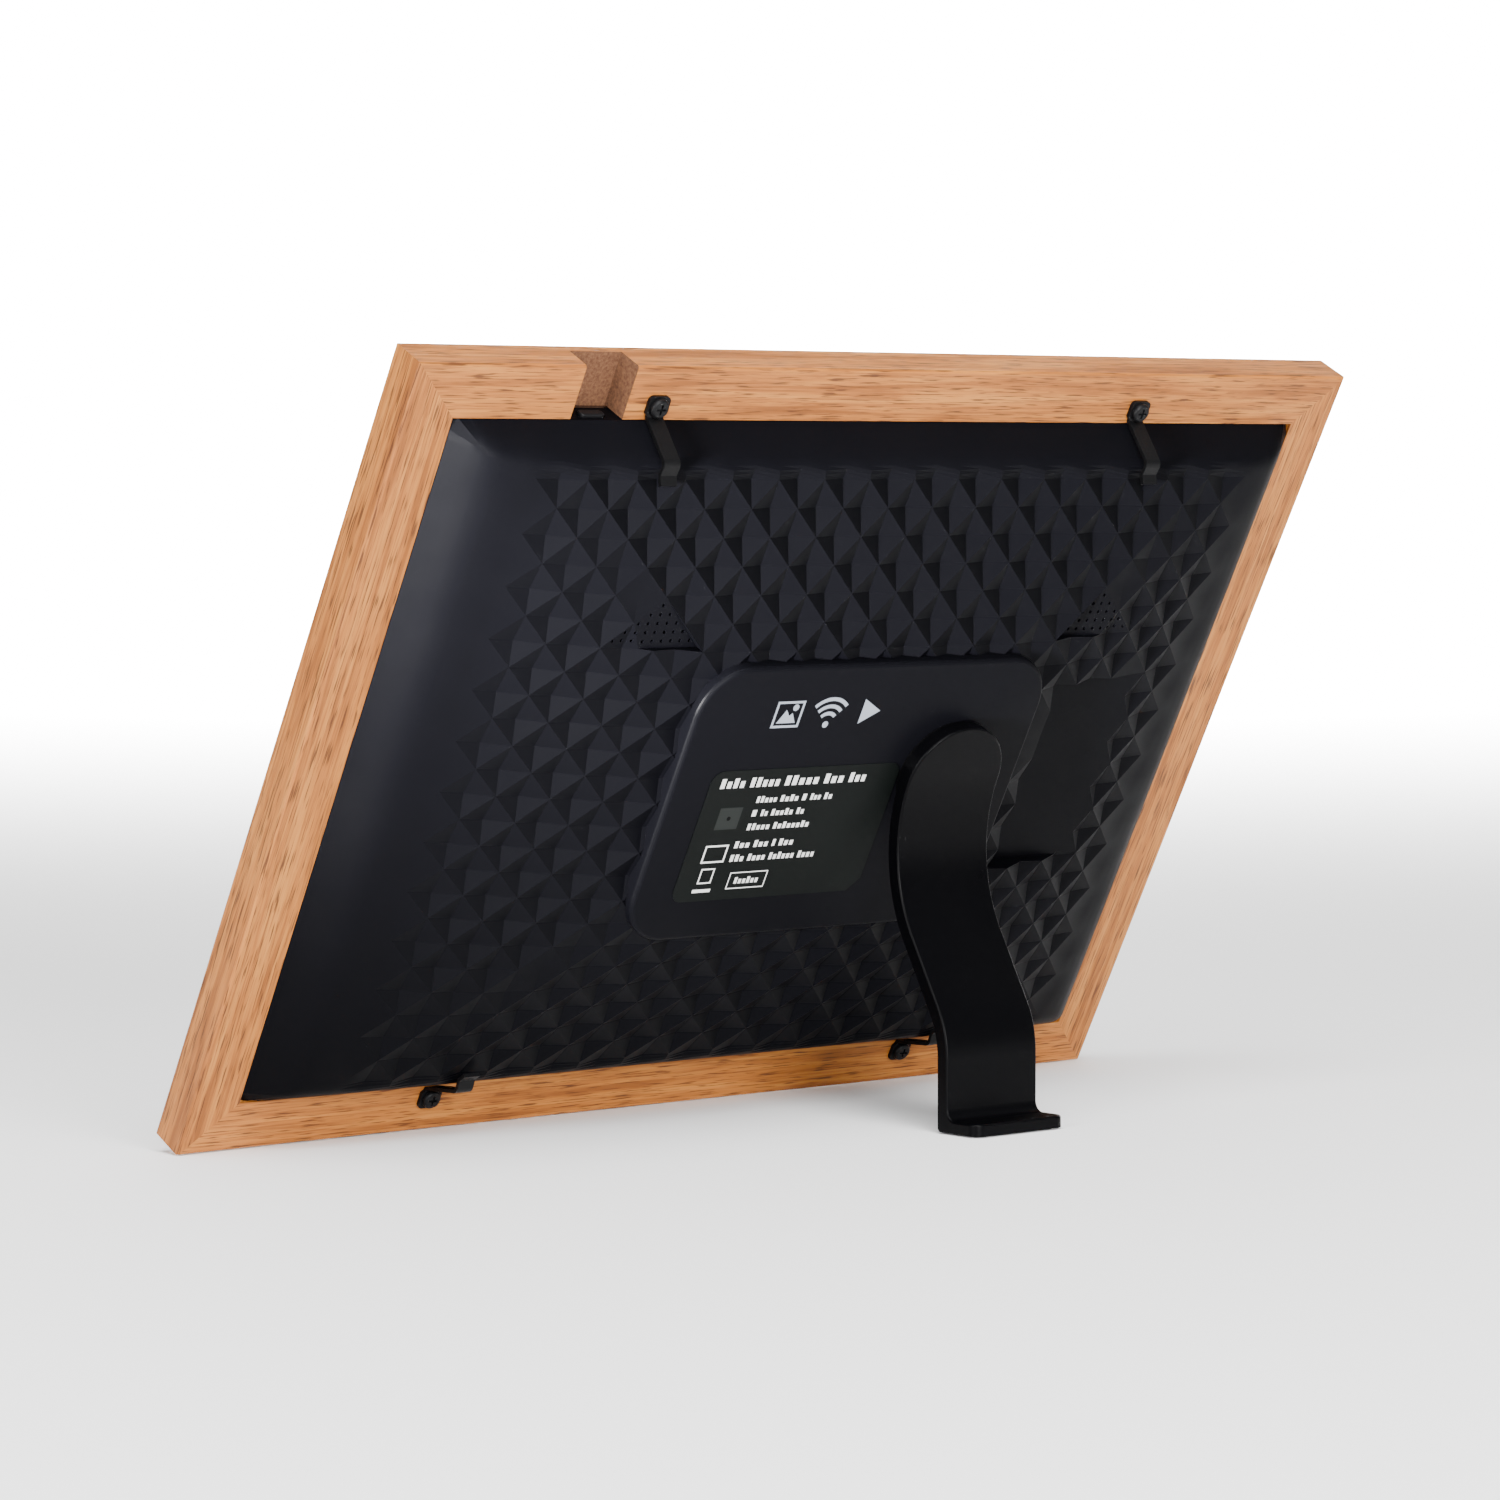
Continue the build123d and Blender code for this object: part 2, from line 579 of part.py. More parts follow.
def main_board():
    board = block(BOARD_X0, BOARD_X1, BOARD_FRONT, BOARD_BACK, -BOARD_HALF, BOARD_HALF)
    board = fillet(board.edges().filter_by(Axis.Y), BOARD_CORNER)
    for x, z in board_screw_places():
        board -= disc(x, z, SCREW_HOLE + 0.1, BOARD_FRONT - 1, BOARD_BACK + 1)
    return board


def board_pieces():
    """What stands on the main board, each against its back face."""
    back = BOARD_BACK
    cans = []
    for width, height, corner, thickness, x, z in (SHIELD_CAN, RADIO):
        cans.append(plate(width, height, corner, back, back + thickness, x, z))
    mouth = Pos(socket_y, SOCKET_Z) * RectangleRounded(SOCKET_HEIGHT, SOCKET_WIDTH, SOCKET_HEIGHT / 2 - 0.05)
    depth = SOCKET_BODY_X - POCKET_X - 2 * SOCKET_SHEET
    middle = (SOCKET_BODY_X + POCKET_X) / 2 + SOCKET_SHEET
    socket = bar(mouth, depth, middle)
    hollow = Pos(socket_y, SOCKET_Z) * RectangleRounded(
        SOCKET_HEIGHT - 2 * SOCKET_SHEET, SOCKET_WIDTH - 2 * SOCKET_SHEET, 1.1,
    )
    tongue = Pos(socket_y, SOCKET_Z) * Rectangle(0.7, SOCKET_WIDTH - 2.2)
    socket -= bar(hollow, depth, middle - 1)
    socket += bar(tongue, depth - 1.4, middle + 0.7)
    card = block(
        POCKET_X + WALL, CARD_BODY_X, back, back + CARD_HEIGHT,
        CARD_Z - CARD_WIDTH / 2, CARD_Z + CARD_WIDTH / 2,
    )
    card -= block(
        POCKET_X, CARD_BODY_X - 1.5, card_y - CARD_MOUTH_HEIGHT / 2, card_y + CARD_MOUTH_HEIGHT / 2,
        CARD_Z - CARD_MOUTH_WIDTH / 2, CARD_Z + CARD_MOUTH_WIDTH / 2,
    )
    return {"shield_can": cans[0], "wifi_module": cans[1], "power_socket": socket, "card_socket": card}


def display_flex():
    """Ribbon from under the main board down to the back of the screen."""
    return bar(strip(RIBBON_PATH, RIBBON_BEND, RIBBON_THICKNESS, Side.RIGHT), RIBBON_WIDTH, RIBBON_X)


def speaker_oval(width, height, y0, y1):
    """A nearly round-ended plate on the right speaker's centre."""
    return plate(width, height, height / 2 - 0.1, y0, y1, SPEAKER_X, SPEAKER_Z)


def speakers():
    back, gasket_back = SPEAKER_BACK, GRILLE_Y - WALL - RUNNING_GAP
    box = plate(SPEAKER_WIDTH, SPEAKER_HEIGHT, SPEAKER_CORNER, SPEAKER_FRONT, back, SPEAKER_X, SPEAKER_Z)
    box -= speaker_oval(CONE_WIDTH, CONE_HEIGHT, back - CONE_DEPTH, back + 1)
    box += speaker_oval(CONE_WIDTH - 1, CONE_HEIGHT - 1, back - CONE_DEPTH - CONE_SINK, back - CONE_SINK)
    foam = speaker_oval(GASKET_WIDTH, GASKET_HEIGHT, back, gasket_back)
    foam -= speaker_oval(
        GASKET_WIDTH - 2 * GASKET_WALL, GASKET_HEIGHT - 2 * GASKET_WALL, back - 1, gasket_back + 1,
    )
    return {
        "speaker_right": box,
        "speaker_left": mirror(box, about=Plane.YZ),
        "speaker_gaskets": group([foam, mirror(foam, about=Plane.YZ)]),
    }


def leads():
    """Thin wires inside the cover: to the speakers, the power button's board and the antenna."""
    plug_y = BOARD_BACK + LEAD_RADIUS
    plug_z = BOARD_HALF - 1
    speaker_end = SPEAKER_X - SPEAKER_WIDTH / 2
    from_left = wire([
        (-34, plug_y, plug_z), (-34, plug_y, 30), (-36, 7.8, SPEAKER_Z), (-speaker_end, 7.8, SPEAKER_Z),
    ], LEAD_BEND, LEAD_RADIUS)
    from_right = wire([
        (-20, plug_y, plug_z), (-20, plug_y, 28), (-8, 8, 36),
        (26, 7.8, SPEAKER_Z), (speaker_end, 7.8, SPEAKER_Z),
    ], LEAD_BEND, LEAD_RADIUS)
    button_lead = wire([
        (BOARD_X1 - 1, plug_y, 12), (BOARD_X1 + 8, plug_y, 13), (36, 4, 24), (66, 3, 56),
        (NOTCH_X, 2.0, BUTTON_BOARD_Z + 1),
    ], LEAD_BEND, LEAD_RADIUS)
    antenna_lead = wire([
        (1, 16, 8), (18, 16, 5), (30, 9, -2), (60, 3, -12), (ANTENNA_X, CHASSIS_BACK + 1.2, ANTENNA_Z),
    ], LEAD_BEND, LEAD_RADIUS / 2)
    return {
        "speaker_leads": group([from_left, from_right]),
        "button_lead": button_lead,
        "antenna_lead": antenna_lead,
    }


def antenna():
    back = CHASSIS_BACK + ANTENNA_THICKNESS
    return plate(ANTENNA_WIDTH, ANTENNA_HEIGHT, 1, CHASSIS_BACK, back, ANTENNA_X + 4, ANTENNA_Z)


# ---------------------------------------------------------------- leg and swivel

def swivel_plate():
    """Disc fixed to the cover. The leg turns on it, and its curved slot stops the leg at each end."""
    plate_disc = disc(PIVOT_X, PIVOT_Z, SWIVEL_RADIUS, PLATE_Y, SWIVEL_TOP)
    plate_disc -= disc(PIVOT_X, PIVOT_Z, BOLT_RADIUS + RUNNING_GAP, PLATE_Y - 1, SWIVEL_TOP + 1)
    quarter = CenterArc((0, 0), STOP_DISTANCE, 180, 90)
    slot = Pos(PIVOT_X, PIVOT_Z) * SlotArc(quarter, STOP_SLOT_WIDTH)
    return plate_disc - slab(slot, PLATE_Y + 0.2, SWIVEL_TOP + 1)


def leg_section():
    """The leg's bent strip and its foot, seen from the side."""
    slope_y, slope_z = sin(radians(LEG_SLOPE)), -cos(radians(LEG_SLOPE))
    knee_along = (LEG_KNEE_Z + half_height) * lean_sin + LEG_FACE * lean_cos
    to_ankle = (SHIN_BACK - knee_along) / sin(radians(LEG_SLOPE - LEAN))
    ankle = (LEG_FACE + to_ankle * slope_y, LEG_KNEE_Z + to_ankle * slope_z)
    path = [
        (LEG_FACE, PIVOT_Z + LEG_WIDTH / 2),
        (LEG_FACE, LEG_KNEE_Z),
        ankle,
        floor_point(SHIN_BACK, PAD_STAND),
    ]
    curve = FilletPolyline(*path, radius=(LEG_KNEE_RADIUS, LEG_ANKLE_RADIUS))
    bent = make_face(offset(curve, amount=LEG_THICKNESS, side=Side.RIGHT, closed=True))
    foot = outline([
        floor_point(SHIN_BACK - LEG_THICKNESS, PAD_STAND),
        floor_point(FOOT_TIP, PAD_STAND),
        floor_point(FOOT_TIP, PAD_STAND + FOOT_THICKNESS),
        floor_point(SHIN_BACK - LEG_THICKNESS, PAD_STAND + FOOT_THICKNESS),
    ])
    whole = bent + foot
    inner_corner = floor_point(SHIN_BACK, PAD_STAND + FOOT_THICKNESS)
    bend = whole.vertices().sort_by_distance(inner_corner + (0,))[0]
    whole = fillet(bend, FOOT_BEND)
    heel_corner = floor_point(SHIN_BACK - LEG_THICKNESS, PAD_STAND)
    heel = whole.vertices().sort_by_distance(heel_corner + (0,))[0]
    return fillet(heel, HEEL_RADIUS)


def stand_leg():
    leg = bar(leg_section(), LEG_WIDTH, PIVOT_X)
    seen_from_behind = Pos(PIVOT_X, PIVOT_Z) * Circle(LEG_WIDTH / 2)
    seen_from_behind += Pos(PIVOT_X, PIVOT_Z - half_height / 2) * Rectangle(LEG_WIDTH, half_height)
    leg &= slab(seen_from_behind, 0, 2 * FOOT_TIP)
    floor_normal = Axis((0, 0, 0), (0, -lean_sin, lean_cos))
    toes = leg.edges().filter_by(floor_normal).sort_by(Axis.Y)[-2:]
    leg = fillet(toes, FOOT_CORNER)
    outer_face = leg.faces().filter_by(Axis.Y).sort_by(Axis.Y)[-1]
    leg = fillet(outer_face.edges().filter_by(GeomType.CIRCLE), LEG_EDGE_RADIUS)
    leg += disc(PIVOT_X, PIVOT_Z, LEG_WIDTH / 2, SWIVEL_TOP, LEG_FACE - LEG_THICKNESS + 0.1)
    peg_z = PIVOT_Z - STOP_DISTANCE
    leg += disc(PIVOT_X, peg_z, STOP_PEG_RADIUS, SWIVEL_TOP - 0.9, SWIVEL_TOP + 0.5)
    return leg - disc(PIVOT_X, PIVOT_Z, BOLT_RADIUS, SWIVEL_TOP - 1, BOLT_END)


def swivel_fixings():
    bolt = disc(PIVOT_X, PIVOT_Z, BOLT_RADIUS, BOLT_HEAD_BACK, BOLT_END)
    head = disc(PIVOT_X, PIVOT_Z, BOLT_HEAD_RADIUS, BOLT_HEAD_FRONT, BOLT_HEAD_BACK)
    bolt += fillet(head.edges().sort_by(Axis.Y)[0], 0.4)
    cross_end = BOLT_HEAD_FRONT + BOLT_CROSS_DEPTH
    for length, width in cross(BOLT_CROSS_LENGTH, BOLT_CROSS_WIDTH):
        bolt -= plate(length, width, CROSS_CORNER, BOLT_HEAD_FRONT - 1, cross_end, PIVOT_X, PIVOT_Z)
    hole = disc(PIVOT_X, PIVOT_Z, BOLT_RADIUS + RUNNING_GAP, BOLT_HEAD_FRONT, PLATE_Y)
    inside = PLATE_Y - WALL
    washer = disc(PIVOT_X, PIVOT_Z, BOLT_HEAD_RADIUS + 1, SPRING_WASHER_BACK, inside) - hole
    spring_back = SPRING_WASHER_BACK - RUNNING_GAP / 2
    cone_section = outline([
        (BOLT_RADIUS + RUNNING_GAP, spring_back - SPRING_THICKNESS),
        (BOLT_RADIUS + RUNNING_GAP, spring_back),
        (BOLT_HEAD_RADIUS, BOLT_HEAD_BACK + SPRING_THICKNESS),
        (BOLT_HEAD_RADIUS, BOLT_HEAD_BACK),
    ])
    spring = revolve(Plane.XY * cone_section, Axis.Y)
    return {
        "pivot_bolt": bolt,
        "friction_washer": washer,
        "spring_washer": Pos(PIVOT_X, 0, PIVOT_Z) * spring,
    }


def foot_pad():
    middle = (SHIN_BACK - LEG_THICKNESS + FOOT_TIP) / 2
    length = FOOT_TIP - SHIN_BACK + LEG_THICKNESS - 3.0
    pad = Box(LEG_WIDTH - 4, length, PAD_THICKNESS)
    pad = fillet(pad.edges().filter_by(Axis.Z), 1.5)
    y, z = floor_point(middle, PAD_THICKNESS / 2)
    return Pos(PIVOT_X, y, z) * Rot(LEAN, 0, 0) * pad


# ---------------------------------------------------------------- label and printed icons

def rating_label():
    label = RectangleRounded(LABEL_WIDTH, LABEL_HEIGHT, LABEL_CORNER)
    return slab(Pos(LABEL_X, LABEL_Z) * label, PLATE_Y, PLATE_Y + LABEL_THICKNESS)


def icon_print():
    tiles = [
        plate(ICON_SIZE, ICON_SIZE, 1.2, PLATE_Y, PLATE_Y + LABEL_THICKNESS, ICON_X + k * ICON_PITCH, ICON_Z)
        for k in (-1, 0, 1)
    ]
    return group(tiles)


# ---------------------------------------------------------------- assembly

def pieces():
    leg = stand_leg()
    pad = foot_pad()
    nodes = {
        **wooden_frame(),
        **clips_and_screws(),
        "back_cover": back_cover(),
        "rating_label": rating_label(),
        "icon_print": icon_print(),
        **screen_layers(),
        "chassis": chassis(),
        **module_screws(),
        "main_board": main_board(),
        **board_pieces(),
        "display_flex": display_flex(),
        **speakers(),
        **leads(),
        "antenna": antenna(),
        "power_button": power_button(),
        **button_electronics(),
        "swivel_plate": swivel_plate(),
        "stand_leg": leg - pad,
        "foot_pad": pad,
        **swivel_fixings(),
    }
    return {name: place(piece) for name, piece in nodes.items()}


os.makedirs("parts", exist_ok=True)
for name, piece in pieces().items():
    export_step(piece, f"parts/{name}.step")
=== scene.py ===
import json
import math

import bmesh
import bpy
from mathutils import Matrix, Vector


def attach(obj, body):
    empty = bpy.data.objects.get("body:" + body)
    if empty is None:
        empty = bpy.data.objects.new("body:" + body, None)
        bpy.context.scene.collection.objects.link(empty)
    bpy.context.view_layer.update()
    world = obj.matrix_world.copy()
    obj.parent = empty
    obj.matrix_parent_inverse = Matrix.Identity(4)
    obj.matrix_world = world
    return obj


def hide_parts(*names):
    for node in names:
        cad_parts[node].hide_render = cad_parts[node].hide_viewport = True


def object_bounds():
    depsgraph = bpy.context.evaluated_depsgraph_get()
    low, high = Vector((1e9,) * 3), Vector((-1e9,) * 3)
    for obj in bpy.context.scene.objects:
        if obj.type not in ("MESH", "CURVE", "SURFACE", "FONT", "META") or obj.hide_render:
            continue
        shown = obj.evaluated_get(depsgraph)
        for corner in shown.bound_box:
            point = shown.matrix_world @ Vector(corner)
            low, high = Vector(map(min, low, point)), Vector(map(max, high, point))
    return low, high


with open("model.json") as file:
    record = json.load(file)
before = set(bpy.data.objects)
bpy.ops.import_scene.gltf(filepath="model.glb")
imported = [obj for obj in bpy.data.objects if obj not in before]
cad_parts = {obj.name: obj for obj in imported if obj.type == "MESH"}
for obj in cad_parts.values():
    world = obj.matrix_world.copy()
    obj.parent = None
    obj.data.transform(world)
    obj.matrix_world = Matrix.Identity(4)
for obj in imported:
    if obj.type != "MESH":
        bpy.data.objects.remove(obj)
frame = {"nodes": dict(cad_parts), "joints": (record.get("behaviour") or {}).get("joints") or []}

# Looks of a digital photo frame seen from behind. Lengths are in metres.
# The frame leans back. Its upright axes are X along it, OUT from its back and UP its height, with the
# origin in the middle of the wood's back face, so most pieces are drawn as (x, out, up) and then placed.

MM = 0.001
cad_box = [list(corner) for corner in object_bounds()]

joints = {joint["name"]: joint for joint in frame["joints"]}
OUT = Vector(joints["leg_swivel"]["axis"])
UP = Vector((0, -OUT.z, OUT.y))
CLIP_LIFT = 0.8 * MM                 # from the wood's back face out to the clip joints
clip_pivots = [Vector(joints[name]["pos_m"]) for name in sorted(joints) if name.startswith("clip_")]
ORIGIN = sum(clip_pivots, Vector()) / len(clip_pivots) - CLIP_LIFT * OUT
LEANING = Matrix((
    (1, OUT.x, UP.x, ORIGIN.x),
    (0, OUT.y, UP.y, ORIGIN.y),
    (0, OUT.z, UP.z, ORIGIN.z),
    (0, 0, 0, 1),
))
UPRIGHT = LEANING.inverted()


def upright_box(node):
    """(lowest, highest) corner of a CAD node in the upright axes."""
    points = [UPRIGHT @ vertex.co for vertex in frame["nodes"][node].data.vertices]
    low = Vector([min(point[i] for point in points) for i in range(3)])
    high = Vector([max(point[i] for point in points) for i in range(3)])
    return low, high


# ---------------------------------------------------------------- meshes

WELD = 0.001 * MM


def new_object(name, vertices, faces):
    """A mesh object from upright points, placed in the leaning frame."""
    mesh = bpy.data.meshes.new(name)
    mesh.from_pydata([LEANING @ Vector(v) for v in vertices], [], faces)
    mesh.update()
    thing = bpy.data.objects.new(name, mesh)
    bpy.context.scene.collection.objects.link(thing)
    return thing


def tidy_mesh(thing, weld=WELD):
    work = bmesh.new()
    work.from_mesh(thing.data)
    bmesh.ops.remove_doubles(work, verts=work.verts, dist=weld)
    bmesh.ops.recalc_face_normals(work, faces=work.faces)
    work.to_mesh(thing.data)
    work.free()


def smooth_below(thing, degrees):
    """Smooth shading, except at edges sharper than the angle."""
    thing.data.polygons.foreach_set("use_smooth", [True] * len(thing.data.polygons))
    thing.data.set_sharp_from_angle(angle=math.radians(degrees))


def copy_of(node, name):
    """A new object with a CAD node's shape, its vertices welded."""
    mesh = frame["nodes"][node].data.copy()
    if "custom_normal" in mesh.attributes:
        mesh.attributes.remove(mesh.attributes["custom_normal"])
    thing = bpy.data.objects.new(name, mesh)
    bpy.context.scene.collection.objects.link(thing)
    tidy_mesh(thing)
    return thing


def cut(thing, cutter):
    """Takes the cutter's volume away from a piece, and removes the cutter."""
    modifier = thing.modifiers.new("cut", "BOOLEAN")
    modifier.operation = "DIFFERENCE"
    modifier.solver = "EXACT"
    modifier.object = cutter
    bpy.context.view_layer.update()
    evaluated = thing.evaluated_get(bpy.context.evaluated_depsgraph_get())
    mesh = bpy.data.meshes.new_from_object(evaluated)
    thing.modifiers.clear()
    old = thing.data
    thing.data = mesh
    bpy.data.meshes.remove(old)
    bpy.data.objects.remove(cutter)
    return thing


def rounded_rectangle(x, z, width, height, corner, steps=6):
    """Upright (x, z) outline with rounded corners, counter-clockwise."""
    points = []
    half_w, half_h = width / 2 - corner, height / 2 - corner
    for quarter, (sx, sz) in enumerate(((1, 1), (-1, 1), (-1, -1), (1, -1))):
        for step in range(steps + 1):
            angle = (quarter + step / steps) * math.pi / 2
            points.append((
                x + sx * half_w + corner * math.cos(angle),
                z + sz * half_h + corner * math.sin(angle),
            ))
    return points


def prism_parts(points, y0, y1):
    """Vertices and faces of an outline made solid from y0 to y1."""
    n = len(points)
    vertices = [(x, y0, z) for x, z in points] + [(x, y1, z) for x, z in points]
    faces = [tuple(range(n)), tuple(reversed(range(n, 2 * n)))]
    faces += [(i, i + n, (i + 1) % n + n, (i + 1) % n) for i in range(n)]
    return vertices, faces


def joined_prisms(name, outlines, y0, y1):
    """Several flat raised shapes as one object."""
    vertices, faces = [], []
    for points in outlines:
        more, sides = prism_parts(points, y0, y1)
        faces += [tuple(len(vertices) + i for i in side) for side in sides]
        vertices += more
    thing = new_object(name, vertices, faces)
    tidy_mesh(thing)
    return thing


# ---------------------------------------------------------------- materials

MIX_FACTOR, MIX_FIRST, MIX_SECOND, MIX_RESULT = 0, 6, 7, 2     # a colour Mix node's sockets


def hex_linear(red, green, blue):
    """sRGB 0-255 to a linear colour."""
    parts = [c / 255 for c in (red, green, blue)]
    return [c / 12.92 if c <= 0.04045 else ((c + 0.055) / 1.055) ** 2.4 for c in parts] + [1.0]


class Shader:
    """Small helper that builds a material's node tree."""

    def __init__(self, name, colour, roughness, **sockets):
        self.material = bpy.data.materials.new(name)
        self.material.use_nodes = True
        self.tree = self.material.node_tree
        self.surface = self.tree.nodes["Principled BSDF"]
        self.surface.inputs["Base Color"].default_value = colour
        self.surface.inputs["Roughness"].default_value = roughness
        for socket, value in sockets.items():
            self.surface.inputs[socket.replace("_", " ")].default_value = value

    def node(self, kind, **settings):
        made = self.tree.nodes.new(kind)
        for key, value in settings.items():
            setattr(made, key, value)
        return made

    def link(self, source, target):
        self.tree.links.new(source, target)

    def coordinates(self, scale=(1, 1, 1)):
        """The piece's own coordinates in the upright axes, stretched by a scale."""
        source = self.node("ShaderNodeTexCoord")
        turned = self.node("ShaderNodeMapping", vector_type="TEXTURE")
        turned.inputs["Rotation"].default_value = LEANING.to_euler()
        turned.inputs["Location"].default_value = ORIGIN
        scaled = self.node("ShaderNodeMapping")
        scaled.inputs["Scale"].default_value = scale
        self.link(source.outputs["Object"], turned.inputs["Vector"])
        self.link(turned.outputs["Vector"], scaled.inputs["Vector"])
        return scaled.outputs["Vector"]

    def noise(self, scale, stretch=(1, 1, 1), detail=4.0, roughness=0.55, distortion=0.0):
        """Noise with this many features to a metre."""
        made = self.node("ShaderNodeTexNoise")
        made.inputs["Scale"].default_value = scale
        made.inputs["Detail"].default_value = detail
        made.inputs["Roughness"].default_value = roughness
        made.inputs["Distortion"].default_value = distortion
        self.link(self.coordinates(stretch), made.inputs["Vector"])
        return made.outputs["Fac"]

    def ramp(self, source, stops):
        made = self.node("ShaderNodeValToRGB")
        elements = made.color_ramp.elements
        while len(elements) < len(stops):
            elements.new(0.5)
        for element, (position, colour) in zip(elements, stops):
            element.position = position
            element.color = colour
        self.link(source, made.inputs["Fac"])
        return made.outputs["Color"]

    def remap(self, source, low, high, to_low=0.0, to_high=1.0):
        made = self.node("ShaderNodeMapRange")
        for key, value in (("From Min", low), ("From Max", high), ("To Min", to_low), ("To Max", to_high)):
            made.inputs[key].default_value = value
        self.link(source, made.inputs["Value"])
        return made.outputs["Result"]

    def mix(self, factor, first, second):
        made = self.node("ShaderNodeMix", data_type="RGBA")
        for value, socket in ((factor, MIX_FACTOR), (first, MIX_FIRST), (second, MIX_SECOND)):
            if isinstance(value, (list, tuple)):
                made.inputs[socket].default_value = value
            else:
                self.link(value, made.inputs[socket])
        return made.outputs[MIX_RESULT]

    def maths(self, operation, first, second):
        made = self.node("ShaderNodeMath", operation=operation)
        for i, value in enumerate((first, second)):
            if isinstance(value, (int, float)):
                made.inputs[i].default_value = value
            else:
                self.link(value, made.inputs[i])
        return made.outputs[0]

    def inside(self, ranges, edge):
        """1 where each named upright axis lies within its (low, high) range, and 0 elsewhere."""
        parts = self.node("ShaderNodeSeparateXYZ")
        self.link(self.coordinates(), parts.inputs["Vector"])
        result = None
        for axis, low, high in ranges:
            offset = self.maths("SUBTRACT", parts.outputs[axis], (low + high) / 2)
            depth = self.maths("SUBTRACT", (high - low) / 2, self.maths("ABSOLUTE", offset, 0.0))
            within = self.remap(depth, -edge, edge)
            result = within if result is None else self.maths("MULTIPLY", result, within)
        return result

    def bump(self, height, distance, strength):
        made = self.node("ShaderNodeBump")
        made.inputs["Distance"].default_value = distance
        made.inputs["Strength"].default_value = strength
        self.link(height, made.inputs["Height"])
        self.link(made.outputs["Normal"], self.surface.inputs["Normal"])

    def colour_from(self, source):
        self.link(source, self.surface.inputs["Base Color"])

    def roughness_from(self, source):
        self.link(source, self.surface.inputs["Roughness"])


def grained_plastic(name, colour, roughness, grain=2600, depth=0.012 * MM, spread=0.06, **sockets):
    """Moulded plastic with a fine spark-eroded texture and slight unevenness of sheen."""
    shader = Shader(name, colour, roughness, **sockets)
    shader.bump(shader.noise(grain, detail=2.0), depth, 0.6)
    shader.roughness_from(shader.remap(
        shader.noise(45, detail=3.0), 0.3, 0.7, roughness - spread, roughness + spread,
    ))
    return shader.material


def wood(name, along_x):
    """Oak-grain foil: long streaks and short pores along the rail."""
    long_way = (0.045, 1, 1) if along_x else (1, 1, 0.045)
    streak_way = (0.02, 1, 1) if along_x else (1, 1, 0.02)
    light, mid, dark = hex_linear(168, 108, 46), hex_linear(152, 92, 36), hex_linear(120, 68, 24)
    shader = Shader(name, mid, 0.48, Specular_IOR_Level=0.25)
    broad = shader.noise(420, long_way, 5.0, 0.62, 0.5)
    colour = shader.ramp(broad, [(0.34, dark), (0.48, mid), (0.62, light)])
    fine = shader.noise(1700, streak_way, 3.0, 0.6)
    colour = shader.mix(shader.remap(fine, 0.52, 0.36, 0.0, 0.8), colour, dark)
    pores = shader.noise(2600, long_way, 2.0, 0.5)
    colour = shader.mix(shader.remap(pores, 0.45, 0.36, 0.0, 0.9), colour, hex_linear(70, 36, 14))
    shader.colour_from(colour)
    shader.roughness_from(shader.remap(broad, 0.3, 0.7, 0.56, 0.42))
    shader.bump(pores, 0.02 * MM, 0.5)
    return shader


NOTCH_WIDTH = 13.4 * MM
NOTCH_FLOOR = -6.5 * MM
NOTCH_EDGE = 0.06 * MM               # takes in the notch's own walls, and leaves the wood's back face out
HARD_EDGE = 0.001 * MM


def fibreboard_in_notch(shader):
    """Bare brown board where the finger notch is cut through the foil."""
    button_low, button_high = upright_box("power_button")
    middle = (button_low.x + button_high.x) / 2
    reach = NOTCH_WIDTH / 2 + NOTCH_EDGE
    across, deep = ("X", middle - reach, middle + reach), ("Y", NOTCH_FLOOR - NOTCH_EDGE, -NOTCH_EDGE)
    inside = shader.inside((across, deep), HARD_EDGE)
    fibres = shader.noise(1400, (1, 1, 1), 6.0, 0.7)
    board = shader.ramp(fibres, [(0.3, hex_linear(62, 38, 24)), (0.7, hex_linear(108, 72, 48))])
    foil = shader.surface.inputs["Base Color"].links[0].from_socket
    shader.colour_from(shader.mix(inside, foil, board))
    foil_sheen = shader.surface.inputs["Roughness"].links[0].from_socket
    matt = (0.9, 0.9, 0.9, 1)
    shader.roughness_from(shader.mix(inside, foil_sheen, matt))
    return shader


wood_across = fibreboard_in_notch(wood("oak_foil_across", True)).material
wood_upright = wood("oak_foil_upright", False).material


def metal(name, colour, roughness, metallic=1.0, grain=1800):
    """Rolled or blackened metal, with an uneven sheen. Blackened metal reflects least."""
    shader = Shader(name, colour, roughness, Metallic=metallic, Specular_IOR_Level=0.08 + 0.42 * metallic)
    shader.roughness_from(shader.remap(
        shader.noise(grain, detail=3.0), 0.3, 0.7, roughness - 0.08, roughness + 0.1,
    ))
    shader.bump(shader.noise(grain * 2, detail=2.0), 0.004 * MM, 0.4)
    return shader.material


def circuit_board():
    """Green solder mask with lighter tracks."""
    shader = Shader("circuit_board", (0.01, 0.06, 0.03, 1), 0.35)
    cells = shader.node("ShaderNodeTexVoronoi", feature="DISTANCE_TO_EDGE", distance="CHEBYCHEV")
    cells.inputs["Scale"].default_value = 420
    shader.link(shader.coordinates(), cells.inputs["Vector"])
    tracks = shader.remap(cells.outputs["Distance"], 0.03, 0.06, 1.0, 0.0)
    shader.colour_from(shader.mix(tracks, (0.008, 0.05, 0.025, 1), (0.02, 0.12, 0.06, 1)))
    shader.bump(tracks, 0.02 * MM, 0.4)
    return shader.material


GLASS_MARGIN = 5.4 * MM              # from the screen panel's edge to the picture area
PICTURE_EDGE = 0.02 * MM


